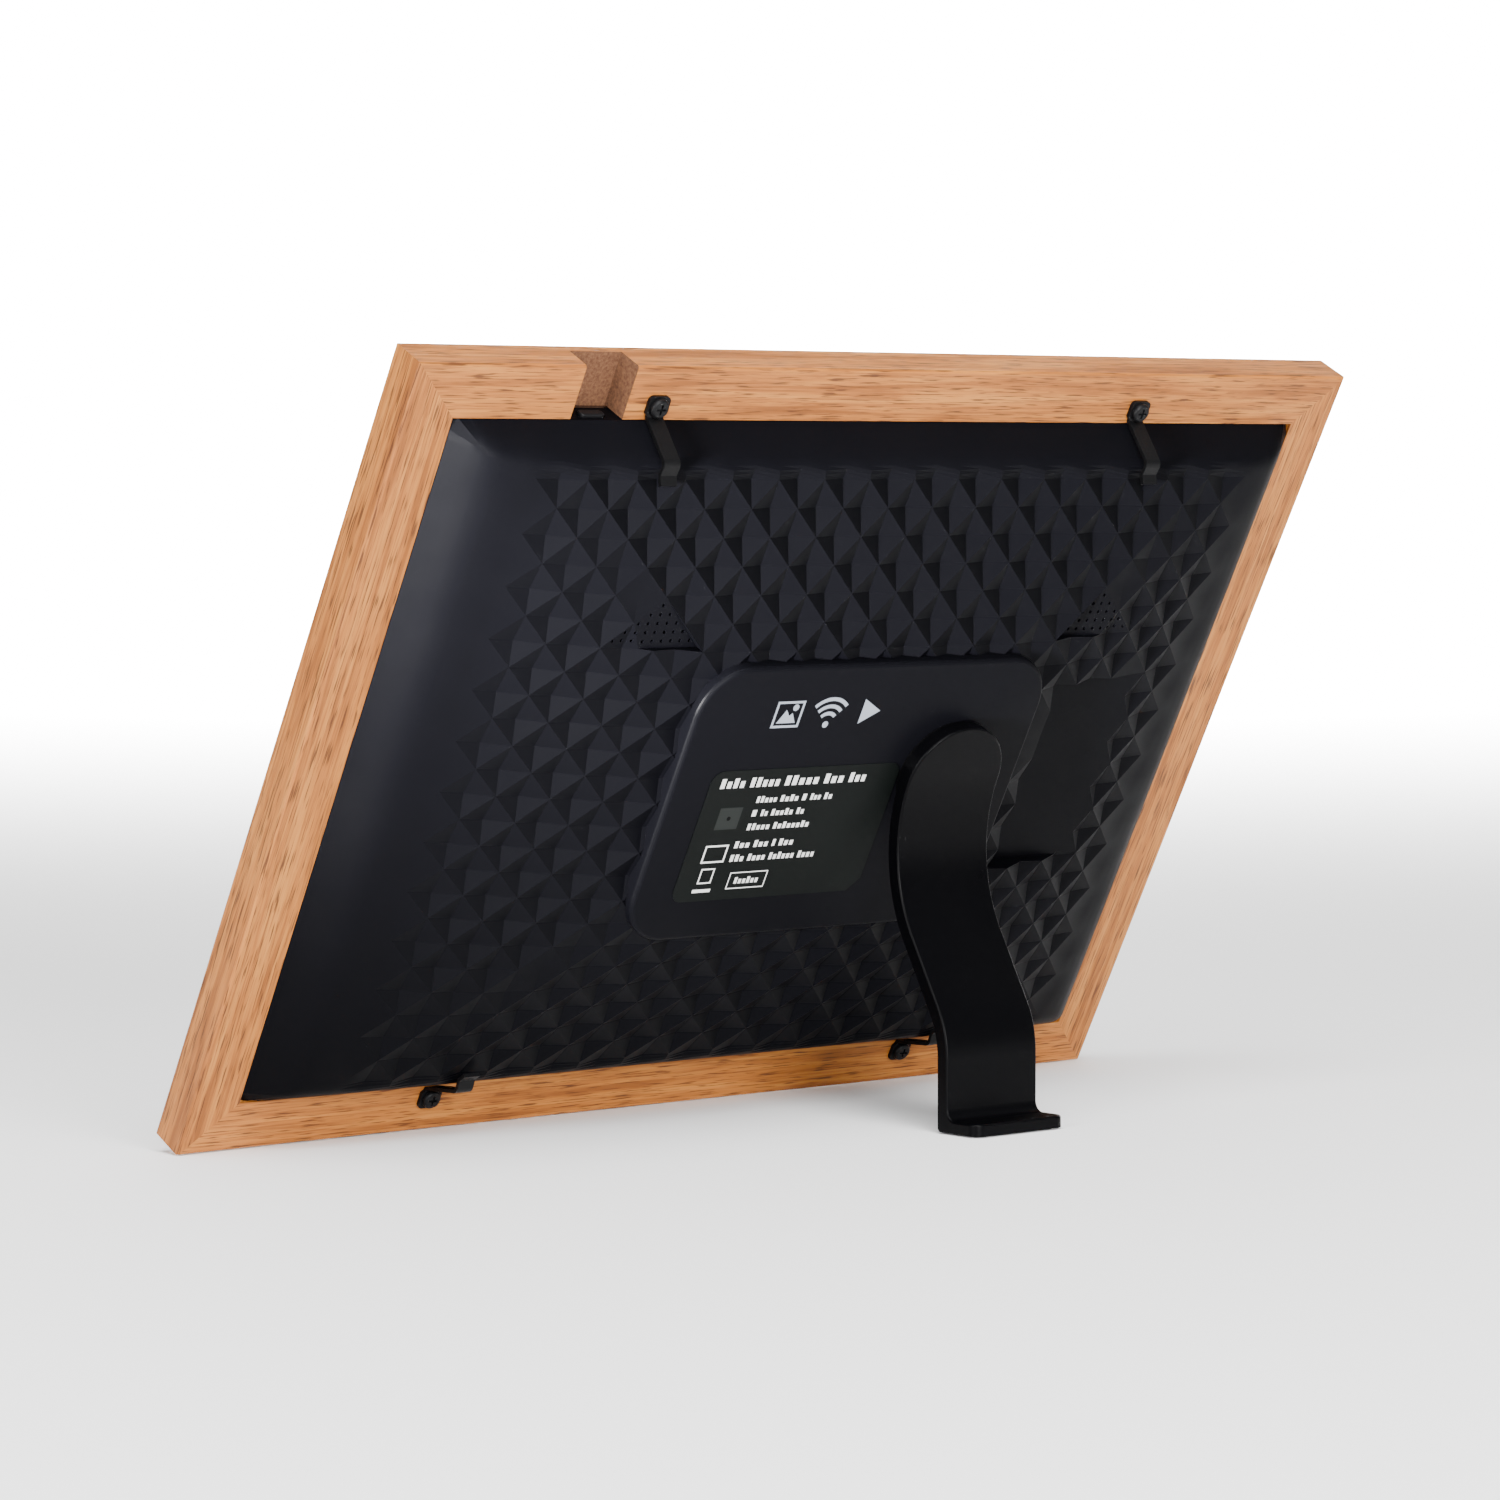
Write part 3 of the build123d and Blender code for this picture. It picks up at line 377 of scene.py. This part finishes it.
def sheet_glass():
    """Cover glass with a printed black border round the dark picture area, and faint smears."""
    shader = Shader("touch_glass", (0.0, 0.0, 0.0, 1), 0.04, IOR=1.5, Coat_Weight=0.6, Coat_Roughness=0.02)
    shader.roughness_from(shader.remap(shader.noise(30, detail=4.0), 0.4, 0.8, 0.03, 0.09))
    low, high = upright_box("lcd_panel")
    across = ("X", low.x + GLASS_MARGIN, high.x - GLASS_MARGIN)
    upward = ("Z", low.z + GLASS_MARGIN, high.z - GLASS_MARGIN)
    picture = shader.inside((across, upward), PICTURE_EDGE)
    shader.colour_from(shader.mix(picture, (0.002, 0.002, 0.0022, 1), (0.009, 0.010, 0.013, 1)))
    return shader.material


def braided(name, colour, roughness, bands):
    """Cable or ribbon with fine bands along its length."""
    shader = Shader(name, colour, roughness)
    ribs = shader.node("ShaderNodeTexWave", bands_direction="X")
    ribs.inputs["Scale"].default_value = bands
    ribs.inputs["Distortion"].default_value = 0.4
    shader.link(shader.coordinates(), ribs.inputs["Vector"])
    shader.bump(ribs.outputs["Fac"], 0.03 * MM, 0.4)
    return shader.material


def foam():
    """Open-cell gasket foam."""
    shader = Shader("foam", (0.012, 0.012, 0.012, 1), 0.95)
    cells = shader.node("ShaderNodeTexVoronoi")
    cells.inputs["Scale"].default_value = 2400
    shader.link(shader.coordinates(), cells.inputs["Vector"])
    shader.bump(cells.outputs["Distance"], 0.1 * MM, 0.9)
    return shader.material


MATERIALS = {
    "cover": grained_plastic("cover_plastic", (0.0011, 0.0011, 0.0016, 1), 0.42, Specular_IOR_Level=0.03),
    "leg": grained_plastic("leg_plastic", (0.0008, 0.0008, 0.0011, 1), 0.32, Specular_IOR_Level=0.045),
    "swivel": grained_plastic("swivel_plastic", (0.0016, 0.0016, 0.0019, 1), 0.5, Specular_IOR_Level=0.04),
    "button": grained_plastic("button_plastic", (0.004, 0.004, 0.0045, 1), 0.4, Specular_IOR_Level=0.1),
    "clip": metal("clip_steel", (0.0025, 0.0025, 0.0028, 1), 0.42, 0.06),
    "screw": metal("screw_steel", (0.004, 0.004, 0.0045, 1), 0.4, 0.1),
    "label": grained_plastic(
        "label_film", (0.0022, 0.0030, 0.0027, 1), 0.5, 3500, 0.006 * MM, Specular_IOR_Level=0.07,
    ),
    "print": grained_plastic("print_ink", (0.62, 0.62, 0.60, 1), 0.6, 3000, 0.004 * MM),
    "patch": grained_plastic("patch_ink", (0.012, 0.014, 0.013, 1), 0.6, Specular_IOR_Level=0.1),
    "icon": grained_plastic("icon_ink", hex_linear(138, 144, 154), 0.55, 3000, 0.004 * MM),
    "glass": sheet_glass(),
    "tape": grained_plastic("tape", (0.01, 0.01, 0.01, 1), 0.8),
    "screen": grained_plastic("screen", (0.02, 0.022, 0.028, 1), 0.2, 3000, 0.002 * MM),
    "backlight": metal("backlight_tray", (0.6, 0.6, 0.58, 1), 0.35),
    "chassis": grained_plastic("chassis_plastic", (0.02, 0.02, 0.022, 1), 0.55),
    "board": circuit_board(),
    "tinned": metal("tinned_steel", (0.62, 0.62, 0.6, 1), 0.3),
    "bright": metal("bright_steel", (0.55, 0.55, 0.54, 1), 0.28),
    "flex": braided("flex_film", (0.25, 0.11, 0.02, 1), 0.4, 900),
    "speaker": grained_plastic("speaker_plastic", (0.015, 0.015, 0.015, 1), 0.5),
    "foam": foam(),
    "lead": braided("lead_insulation", (0.012, 0.012, 0.012, 1), 0.5, 1200),
    "rubber": grained_plastic("pad_rubber", (0.014, 0.014, 0.014, 1), 0.85, 1500, 0.02 * MM),
    "washer": grained_plastic("washer_plastic", (0.55, 0.54, 0.5, 1), 0.4),
}

NODE_MATERIALS = {
    "rail_top": wood_across, "rail_bottom": wood_across,
    "rail_left": wood_upright, "rail_right": wood_upright,
    "clip_top_left": "clip", "clip_top_right": "clip",
    "clip_bottom_left": "clip", "clip_bottom_right": "clip",
    "clip_screws": "screw", "chassis_screws": "screw", "board_screws": "bright",
    "button_board_screws": "bright", "cover_glass": "glass", "glass_tape": "tape", "lcd_panel": "screen",
    "backlight": "backlight", "chassis": "chassis", "main_board": "board", "button_board": "board",
    "shield_can": "tinned", "wifi_module": "tinned", "power_socket": "bright", "card_socket": "tinned",
    "display_flex": "flex", "antenna": "flex", "speaker_right": "speaker", "speaker_left": "speaker",
    "speaker_gaskets": "foam", "speaker_leads": "lead", "button_lead": "lead", "antenna_lead": "lead",
    "power_button": "button", "tact_switch": "speaker", "swivel_plate": "swivel", "stand_leg": "leg",
    "foot_pad": "rubber", "pivot_bolt": "bright", "friction_washer": "washer", "spring_washer": "bright",
}


def paint(thing, material):
    thing.data.materials.clear()
    thing.data.materials.append(MATERIALS[material] if isinstance(material, str) else material)


for node_name, look in NODE_MATERIALS.items():
    paint(frame["nodes"][node_name], look)


# ---------------------------------------------------------------- dimpled back cover

cover_low, cover_high = upright_box("back_cover")
swivel_low, swivel_high = upright_box("swivel_plate")
PLATE_TOP = swivel_low.y
EDGE_X, EDGE_Z = cover_high.x, cover_high.z
RIM_X, RIM_SIDE = 111.5 * MM, 6.8 * MM
RIM_Z, RIM_TOP = 75.0 * MM, 8.65 * MM
EASE_X, EASE = 88.2 * MM, 12.5 * MM
PLATE_HALF_X, PLATE_HALF_Z, PLATE_CORNER = 49.5 * MM, 33.7 * MM, 12.0 * MM
SHOULDER = 19.0 * MM
STEP_X, STEP_Z = 6.3 * MM, 6.0 * MM          # half a dimple's width and height
COLUMNS, ROWS = 16, 12                       # the relief reaches this many steps each way
DIMPLE = 1.7 * MM
DEEPEST = 1.8 * MM                           # below the sharp-edged cover, whose wall is 2.4 mm
FADE_X, FADE_Z = (90 * MM, 107 * MM), (71 * MM, 76 * MM)     # where dimples start to fade and are gone
DIMPLE_DROP = 0.5 * MM                       # how far a dimple's lowest point sits below its middle
SKIN = 0.02 * MM                             # taken off everywhere, so that no two faces coincide
FOLD = 2.2 * MM                              # softness of the folds
HIP_FOLD = 4.0 * MM
SHARP = 0.001 * MM                           # the same folds, as good as sharp
CREASE = 14                                  # degrees: gentler edges are shaded smooth
PLATE_RIM, RIM_STEPS, CORNER_STEPS = 1.3 * MM, 5, 12
SHALLOW = 0.1
# Where dimples stay shallow, as lowest and highest -x, lowest and highest z, in mm
SHALLOW_PLACES = [
    (49, 57, 2, 18),         # over the power socket, where the wall is thin
    (79, 84, -24, 24),       # the outer end of the connector pocket
    (60, 66, 38, 45),        # the right speaker grille, as seen from behind
    (-66, -60, 38, 45),      # the left speaker grille
]
# Lines, in mm, that the border past the last dimples is divided at, closest where it folds
COLUMN_LINES = [103.5, 106.5, 109, 110.5, 112, 113.5, 115.5, 120.5]
ROW_LINES = [73.0, 73.9, 74.7, 75.4, 76.2, 77.2, 79, 84]


def line_height(distance, near, far):
    """Height at a distance on the straight line through two (distance, height) points."""
    slope = (far[1] - near[1]) / (far[0] - near[0])
    return near[1] + slope * (distance - near[0])


def soft_min(a, b, softness):
    """The smaller of two heights, with the crossing rounded."""
    share = max(softness - abs(a - b), 0) / softness
    return min(a, b) - share * share * softness / 4


def dome_height(x, z, fold=FOLD, hip_fold=HIP_FOLD):
    """Height of the smooth cover, without its dimples."""
    x, z = abs(x), abs(z)
    top = soft_min(
        line_height(z, (EDGE_Z, 0), (RIM_Z, RIM_TOP)),
        line_height(z, (RIM_Z, RIM_TOP), (PLATE_HALF_Z, SHOULDER)), fold,
    )
    side = soft_min(
        line_height(x, (EDGE_X, 0), (RIM_X, RIM_SIDE)),
        line_height(x, (RIM_X, RIM_SIDE), (EASE_X, EASE)), fold,
    )
    side = soft_min(side, line_height(x, (EASE_X, EASE), (PLATE_HALF_X, SHOULDER)), fold / 4)
    return min(soft_min(top, side, hip_fold), SHOULDER) - SKIN


def fade(value, full, gone):
    """1 up to full, 0 past gone, and smooth between."""
    t = min(max((value - full) / (gone - full), 0), 1)
    return 1 - t * t * (3 - 2 * t)


def dimple_depth(x, z):
    depth = DIMPLE * fade(abs(x), *FADE_X) * fade(abs(z), *FADE_Z)
    u, v = -x / MM, z / MM
    shallow = any(left < u < right and low < v < high for left, right, low, high in SHALLOW_PLACES)
    room = DEEPEST - (dome_height(x, z, SHARP, SHARP) - dome_height(x, z))
    return min(depth * SHALLOW if shallow else depth, room)


class Relief:
    """Grid of nodes on the dome with an inverted pyramid between every four of them."""

    def __init__(self):
        self.vertices = []
        self.lookup = {}
        self.faces = []

    def point(self, x, z, lowest=False):
        key = (round(x / MM, 3), round(z / MM, 3))
        if key not in self.lookup:
            y = dome_height(x, z) - (dimple_depth(x, z) if lowest else 0)
            self.lookup[key] = len(self.vertices)
            self.vertices.append((x, y, z))
        return self.lookup[key]

    def node(self, i, k):
        """Crossing of the ridges: i and k count half dimples, and their sum is even."""
        return self.point(i * STEP_X, k * STEP_Z)

    def bottom(self, i, k):
        return self.point(i * STEP_X, k * STEP_Z - DIMPLE_DROP, True)

    def dimples(self):
        for k in range(-ROWS, ROWS + 1):
            for i in range(-COLUMNS, COLUMNS + 1):
                if (i + k) % 2 == 0:
                    continue
                low = self.bottom(i, k)
                for di, dk in ((1, 1), (-1, 1), (-1, -1), (1, -1)):
                    if abs(i + di) > COLUMNS or abs(k + dk) > ROWS:
                        continue
                    self.faces.append((low, self.node(i + di, k), self.node(i, k + dk)))

    def ring_point(self, i, k, x=None, z=None):
        """Point in line with step i or k on a border line; odd steps carry on the dimples' valleys."""
        odd = (i + k) % 2 == 1
        at_x = i * STEP_X if x is None else x
        at_z = k * STEP_Z - (DIMPLE_DROP if odd else 0) if z is None else z
        return self.point(at_x, at_z, odd)

    def strip(self, first, second):
        for a, b, c, d in zip(first, first[1:], second[1:], second):
            self.faces.append((a, b, c))
            self.faces.append((a, c, d))

    def borders(self):
        for side in (-1, 1):
            inner = [self.ring_point(i, side * ROWS) for i in range(-COLUMNS, COLUMNS + 1)]
            for line in ROW_LINES:
                outer = [
                    self.ring_point(i, side * ROWS, z=side * line * MM) for i in range(-COLUMNS, COLUMNS + 1)
                ]
                self.strip(inner, outer)
                inner = outer
            inner = [self.ring_point(side * COLUMNS, k) for k in range(-ROWS, ROWS + 1)]
            for line in COLUMN_LINES:
                outer = [
                    self.ring_point(side * COLUMNS, k, x=side * line * MM) for k in range(-ROWS, ROWS + 1)
                ]
                self.strip(inner, outer)
                inner = outer

    def corners(self):
        for sx in (-1, 1):
            for sz in (-1, 1):
                xs = [COLUMNS * STEP_X] + [line * MM for line in COLUMN_LINES]
                zs = [ROWS * STEP_Z] + [line * MM for line in ROW_LINES]
                rows = [[self.point(sx * x, sz * z) for x in xs] for z in zs]
                for first, second in zip(rows, rows[1:]):
                    self.strip(first, second)


def relief_cutter():
    """Everything above the dimpled surface, as one closed volume."""
    relief = Relief()
    relief.dimples()
    relief.borders()
    relief.corners()
    cutter = new_object("relief_cutter", relief.vertices, relief.faces)
    tidy_mesh(cutter)
    work = bmesh.new()
    work.from_mesh(cutter.data)
    lid_height = (LEANING @ Vector((0, 2 * PLATE_TOP, 0))).dot(OUT)
    grown = bmesh.ops.extrude_face_region(work, geom=work.faces[:])
    for vertex in [v for v in grown["geom"] if isinstance(v, bmesh.types.BMVert)]:
        vertex.co += (lid_height - vertex.co.dot(OUT)) * OUT
    bmesh.ops.recalc_face_normals(work, faces=work.faces)
    work.to_mesh(cutter.data)
    work.free()
    return cutter


def plate_block():
    """The raised plate with its rounded rim, standing through the cutter."""
    rings = []
    levels = [(0.0, -SHOULDER / 2)]
    for step in range(RIM_STEPS + 1):
        angle = step / RIM_STEPS * math.pi / 2
        levels.append((PLATE_RIM * (1 - math.cos(angle)), PLATE_RIM * (math.sin(angle) - 1)))
    for inset, drop in levels:
        y = PLATE_TOP + drop + SKIN / 4
        outline = rounded_rectangle(
            0, 0, 2 * (PLATE_HALF_X - inset), 2 * (PLATE_HALF_Z - inset), PLATE_CORNER - inset,
            CORNER_STEPS,
        )
        rings.append([(x, y, z) for x, z in outline])
    vertices = [point for ring in rings for point in ring]
    n = len(rings[0])
    faces = [tuple(range(n)), tuple(range((len(rings) - 1) * n, len(rings) * n))]
    for r in range(len(rings) - 1):
        faces += [
            (r * n + i, r * n + (i + 1) % n, (r + 1) * n + (i + 1) % n, (r + 1) * n + i) for i in range(n)
        ]
    block = new_object("plate_block", vertices, faces)
    tidy_mesh(block)
    return block


def dimpled_cover():
    """The CAD cover with everything above the dimples cut away, except the raised plate."""
    cover = copy_of("back_cover", "cover_shell")
    cut(cover, cut(relief_cutter(), plate_block()))
    tidy_mesh(cover, 2 * WELD)
    smooth_below(cover, CREASE)
    paint(cover, "cover")
    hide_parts("back_cover")
    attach(cover, "frame")
    return cover


cover_shell = dimpled_cover()


# ---------------------------------------------------------------- rating label and printed icons

LABEL_CORNER, LABEL_CUT = 3.0 * MM, 3.1 * MM
PRINT_THICKNESS, DOT_THICKNESS, ICON_THICKNESS = 0.02 * MM, 0.015 * MM, 0.03 * MM

# A letter's pitch, a short letter's height and the gap between words, in letter heights, and its width in
# pitches
LETTER_PITCH, SHORT_LETTER, WORD_GAP, LETTER_WIDTH = 0.78, 0.7, 0.45, 0.66


# each line: (start, word widths...), height above the label's lower edge, letter height, all in mm
LABEL_LINES = [
    ((3.0, 7.2, 8.6, 10.0, 6.0, 5.2), 28.2, 2.4),
    ((14.6, 6.0, 5.4, 1.6, 3.2, 2.6), 24.2, 1.6),
    ((14.6, 1.8, 2.2, 6.4, 2.4), 20.8, 1.6),
    ((14.6, 6.6, 10.4), 17.4, 1.6),
    ((12.8, 4.6, 4.4, 1.2, 4.4), 13.0, 1.7),
    ((12.8, 4.2, 5.2, 7.4, 5.0), 9.6, 1.7),
    ((16.2, 7.0), 3.9, 1.6),
]
# each box: left end, lower edge, width, height and line width, in mm
LABEL_BOXES = [
    (14.4, 2.6, 10.6, 4.2, 0.24),
    (4.8, 9.6, 6.4, 4.4, 0.42),
    (5.8, 4.4, 3.8, 3.8, 0.34),
    (5.2, 2.2, 5.0, 0.8, 0.4),
]
LABEL_PATCH = (5.3, 17.9, 6.2, 5.4)


def rectangle(x, z, width, height):
    return [(x, z), (x + width, z), (x + width, z + height), (x, z + height)]


def label_sheet():
    """Film label with rounded corners, one of them cut off."""
    low, high = upright_box("rating_label")
    middle = (low + high) / 2
    outline = rounded_rectangle(middle.x, middle.z, high.x - low.x, high.z - low.z, LABEL_CORNER)
    outline = [(x, z) for x, z in outline if x > low.x + LABEL_CUT or z > low.z + LABEL_CUT]
    first_below = next(i for i, (x, z) in enumerate(outline) if z < middle.z)
    outline[first_below:first_below] = [(low.x, low.z + LABEL_CUT), (low.x + LABEL_CUT, low.z)]
    label = joined_prisms("label_sheet", [outline], low.y, high.y)
    paint(label, "label")
    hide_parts("rating_label")
    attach(label, "frame")


def label_bar(u, v, width, height):
    """A bar in mm from the label's lower left corner as seen from behind, given by its own such corner."""
    low, high = upright_box("rating_label")
    return rectangle(high.x - (u + width) * MM, low.z + v * MM, width * MM, height * MM)


def letter_blocks():
    """Rows of plain blocks, grouped like words."""
    blocks = []
    for words, v, height in LABEL_LINES:
        u = words[0]
        for width in words[1:]:
            count = max(1, round(width / (LETTER_PITCH * height)))
            pitch = width / count
            for letter in range(count):
                tall = (letter * 5 + round(10 * v) + count) % 4 == 0 or letter == 0
                block_height = height * (1.0 if tall else SHORT_LETTER)
                blocks.append(label_bar(u + letter * pitch, v, LETTER_WIDTH * pitch, block_height))
            u += width + WORD_GAP * height
    return blocks


def box_outlines():
    """Boxes drawn with four lines each."""
    lines = []
    for u, v, width, height, line in LABEL_BOXES:
        lines.append(label_bar(u, v, width, line))
        lines.append(label_bar(u, v + height - line, width, line))
        lines.append(label_bar(u, v + line, line, height - 2 * line))
        lines.append(label_bar(u + width - line, v + line, line, height - 2 * line))
    return lines


def label_print():
    """Plain bars and boxes where a rating label carries its text and marks."""
    low, high = upright_box("rating_label")
    face = high.y
    top = face + PRINT_THICKNESS
    printed = joined_prisms("label_print", letter_blocks() + box_outlines(), face, top)
    patch = joined_prisms("label_patch", [label_bar(*LABEL_PATCH)], face, top)
    u, v, width, height = LABEL_PATCH
    middle_x, middle_z = high.x - (u + width / 2) * MM, low.z + (v + height / 2) * MM
    spot = rounded_rectangle(middle_x, middle_z, MM, MM, 0.45 * MM)
    dot = joined_prisms("label_dot", [spot], top, top + DOT_THICKNESS)
    for thing, look in ((printed, "print"), (patch, "patch"), (dot, "swivel")):
        paint(thing, look)
        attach(thing, "frame")


def arc_points(x, z, radius, start, turn, steps):
    """Points round a centre, from an angle through a turn, both in degrees."""
    angles = [math.radians(start + turn * step / steps) for step in range(steps + 1)]
    return [(x + radius * math.cos(angle), z + radius * math.sin(angle)) for angle in angles]


def round_dot(x, z, size):
    return arc_points(x, z, 0.1 * size, 0, 337.5, 15)


def play_mark(x, z, size):
    return [[
        (x + size * 0.28, z - size * 0.38), (x - size * 0.38, z), (x + size * 0.28, z + size * 0.38),
    ]]


def radio_waves(x, z, size):
    """Three arcs over a dot."""
    foot = z - size * 0.36
    half_line = 0.055
    shapes = []
    for radius in (0.34, 0.56, 0.78):
        outer = arc_points(x, foot, (radius + half_line) * size, 45, 90, 12)
        inner = arc_points(x, foot, (radius - half_line) * size, 45, 90, 12)
        shapes.append(outer + inner[::-1])
    return shapes + [round_dot(x, foot, size)]


def picture_mark(x, z, size):
    """A picture's border with hills and a sun in it."""
    half, line = size * 0.48, size * 0.07
    half_height = half * 0.84
    shapes = []
    for bottom in (z - half_height, z + half_height - line):
        shapes.append(rectangle(x - half, bottom, 2 * half, line))
    for side in (x - half, x + half - line):
        shapes.append(rectangle(side, z - half_height + line, line, 2 * half_height - 2 * line))
    ground = z - half * 0.55
    shapes.append([
        (x - half * 0.68, ground), (x + half * 0.68, ground), (x + half * 0.2, z + half * 0.3),
        (x - half * 0.1, z - half * 0.1), (x - half * 0.3, z + half * 0.08),
    ])
    return shapes + [round_dot(x - half * 0.42, z + half * 0.42, size)]


def icon_shapes():
    """Three plain pictograms: from the right as seen from behind, play, radio waves and a picture."""
    low, high = upright_box("icon_print")
    middle_z = (low.z + high.z) / 2
    size = high.z - low.z
    pitch = (high.x - low.x - size) / 2
    centre_x = (low.x + high.x) / 2
    shapes = play_mark(centre_x - pitch, middle_z, size)
    shapes += radio_waves(centre_x, middle_z, size)
    shapes += picture_mark(centre_x + pitch, middle_z, size)
    icons = joined_prisms("icons", shapes, low.y, low.y + ICON_THICKNESS)
    paint(icons, "icon")
    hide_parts("icon_print")
    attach(icons, "frame")


label_sheet()
label_print()
icon_shapes()


# ---------------------------------------------------------------- floor, light and camera

# The camera's place, and its axes in the world
CAMERA_PLACE = Vector((0.7143, 0.8348, 0.1424))
FORWARD = Vector((-0.64478, -0.7624, -0.0548)).normalized()
RIGHTWARD = Vector((-0.76347, 0.64584, -0.0022))
LENS, SENSOR = 120.4, 36             # in mm
AWAY = Vector((FORWARD.x, FORWARD.y, 0)).normalized()

# The floor: a sweep from behind the camera to a bend far behind the object, then a wall. In metres.
SWEEP_START, BEND_START, BEND_RADIUS, WALL_TOP = -5.0, 2.4, 1.2, 4.0
SWEEP_HALF_WIDTH, BEND_STEPS = 6.0, 24
FLOOR_GAP = 0.02 * MM


def floor():
    """Pale studio sweep: a floor that curves up into a wall, far behind the object."""
    across = Vector((-AWAY.y, AWAY.x, 0))
    profile = [(SWEEP_START, 0.0)]
    for step in range(BEND_STEPS + 1):
        angle = step / BEND_STEPS * math.pi / 2
        profile.append((BEND_START + BEND_RADIUS * math.sin(angle), BEND_RADIUS * (1 - math.cos(angle))))
    profile.append((BEND_START + BEND_RADIUS, WALL_TOP))
    vertices = []
    for along, height in profile:
        for side in (-SWEEP_HALF_WIDTH, SWEEP_HALF_WIDTH):
            vertices.append(AWAY * along + across * side + Vector((0, 0, height)))
    faces = [(2 * i, 2 * i + 1, 2 * i + 3, 2 * i + 2) for i in range(len(profile) - 1)]
    mesh = bpy.data.meshes.new("floor")
    mesh.from_pydata(vertices, [], faces)
    mesh.polygons.foreach_set("use_smooth", [True] * len(faces))
    mesh.materials.append(Shader("pale_floor", (0.9, 0.9, 0.9, 1), 0.8).material)
    ground = bpy.data.objects.new("floor", mesh)
    bpy.context.scene.collection.objects.link(ground)
    ground.location.z = cad_box[0][2] - FLOOR_GAP


def soft_light(name, direction, distance, size, power, aim=(0, 0, 0), spread=180, only=None):
    """An area lamp that looks at the middle of the object, or at a point given from there.

    A lamp with only set is flagged off from everything but that one piece.
    """
    lamp = bpy.data.lights.new(name, "AREA")
    lamp.shape = "DISK"
    lamp.size = size
    lamp.energy = power
    lamp.spread = math.radians(spread)
    thing = bpy.data.objects.new(name, lamp)
    bpy.context.scene.collection.objects.link(thing)
    middle = (Vector(cad_box[0]) + Vector(cad_box[1])) / 2
    thing.location = middle + Vector(direction).normalized() * distance
    thing.visible_camera = False
    look = middle + Vector(aim) - thing.location
    thing.rotation_euler = look.to_track_quat("-Z", "Y").to_euler()
    if only:
        lit = bpy.data.collections.new(name + "_lit")
        lit.objects.link(only)
        thing.light_linking.receiver_collection = lit


def surroundings(strength):
    world = bpy.data.worlds.new("studio")
    bpy.context.scene.world = world
    world.use_nodes = True
    background = world.node_tree.nodes["Background"]
    background.inputs["Color"].default_value = (1, 1, 1, 1)
    background.inputs["Strength"].default_value = strength


def photo_camera():
    lens = bpy.data.cameras.new("camera")
    lens.sensor_width = SENSOR
    lens.lens = LENS
    lens.clip_start = 0.01
    lens.clip_end = 50
    camera = bpy.data.objects.new("camera", lens)
    bpy.context.scene.collection.objects.link(camera)
    up = RIGHTWARD.cross(FORWARD).normalized()
    turn = Matrix((FORWARD.cross(up), up, -FORWARD)).transposed().to_4x4()
    camera.matrix_world = Matrix.Translation(CAMERA_PLACE) @ turn
    bpy.context.scene.camera = camera


floor()
surroundings(0.5)
soft_light("relief_light", (0.9, 0.33, -0.06), 0.5, 0.08, 2.2, (-0.09, 0.03, 0.06), 36, cover_shell)
soft_light("key_light", (1.0, 0.3, 0.2), 1.2, 0.6, 14)
soft_light("top_light", (0.35, 0.5, 1.0), 1.7, 1.4, 56)
soft_light("fill_light", (0.3, 1.0, 0.2), 1.5, 0.8, 44)
soft_light("background_light", AWAY * 1.6 + Vector((0, 0, 1)), 2.8, 1.8, 460, AWAY * 2.8, 124)
photo_camera()
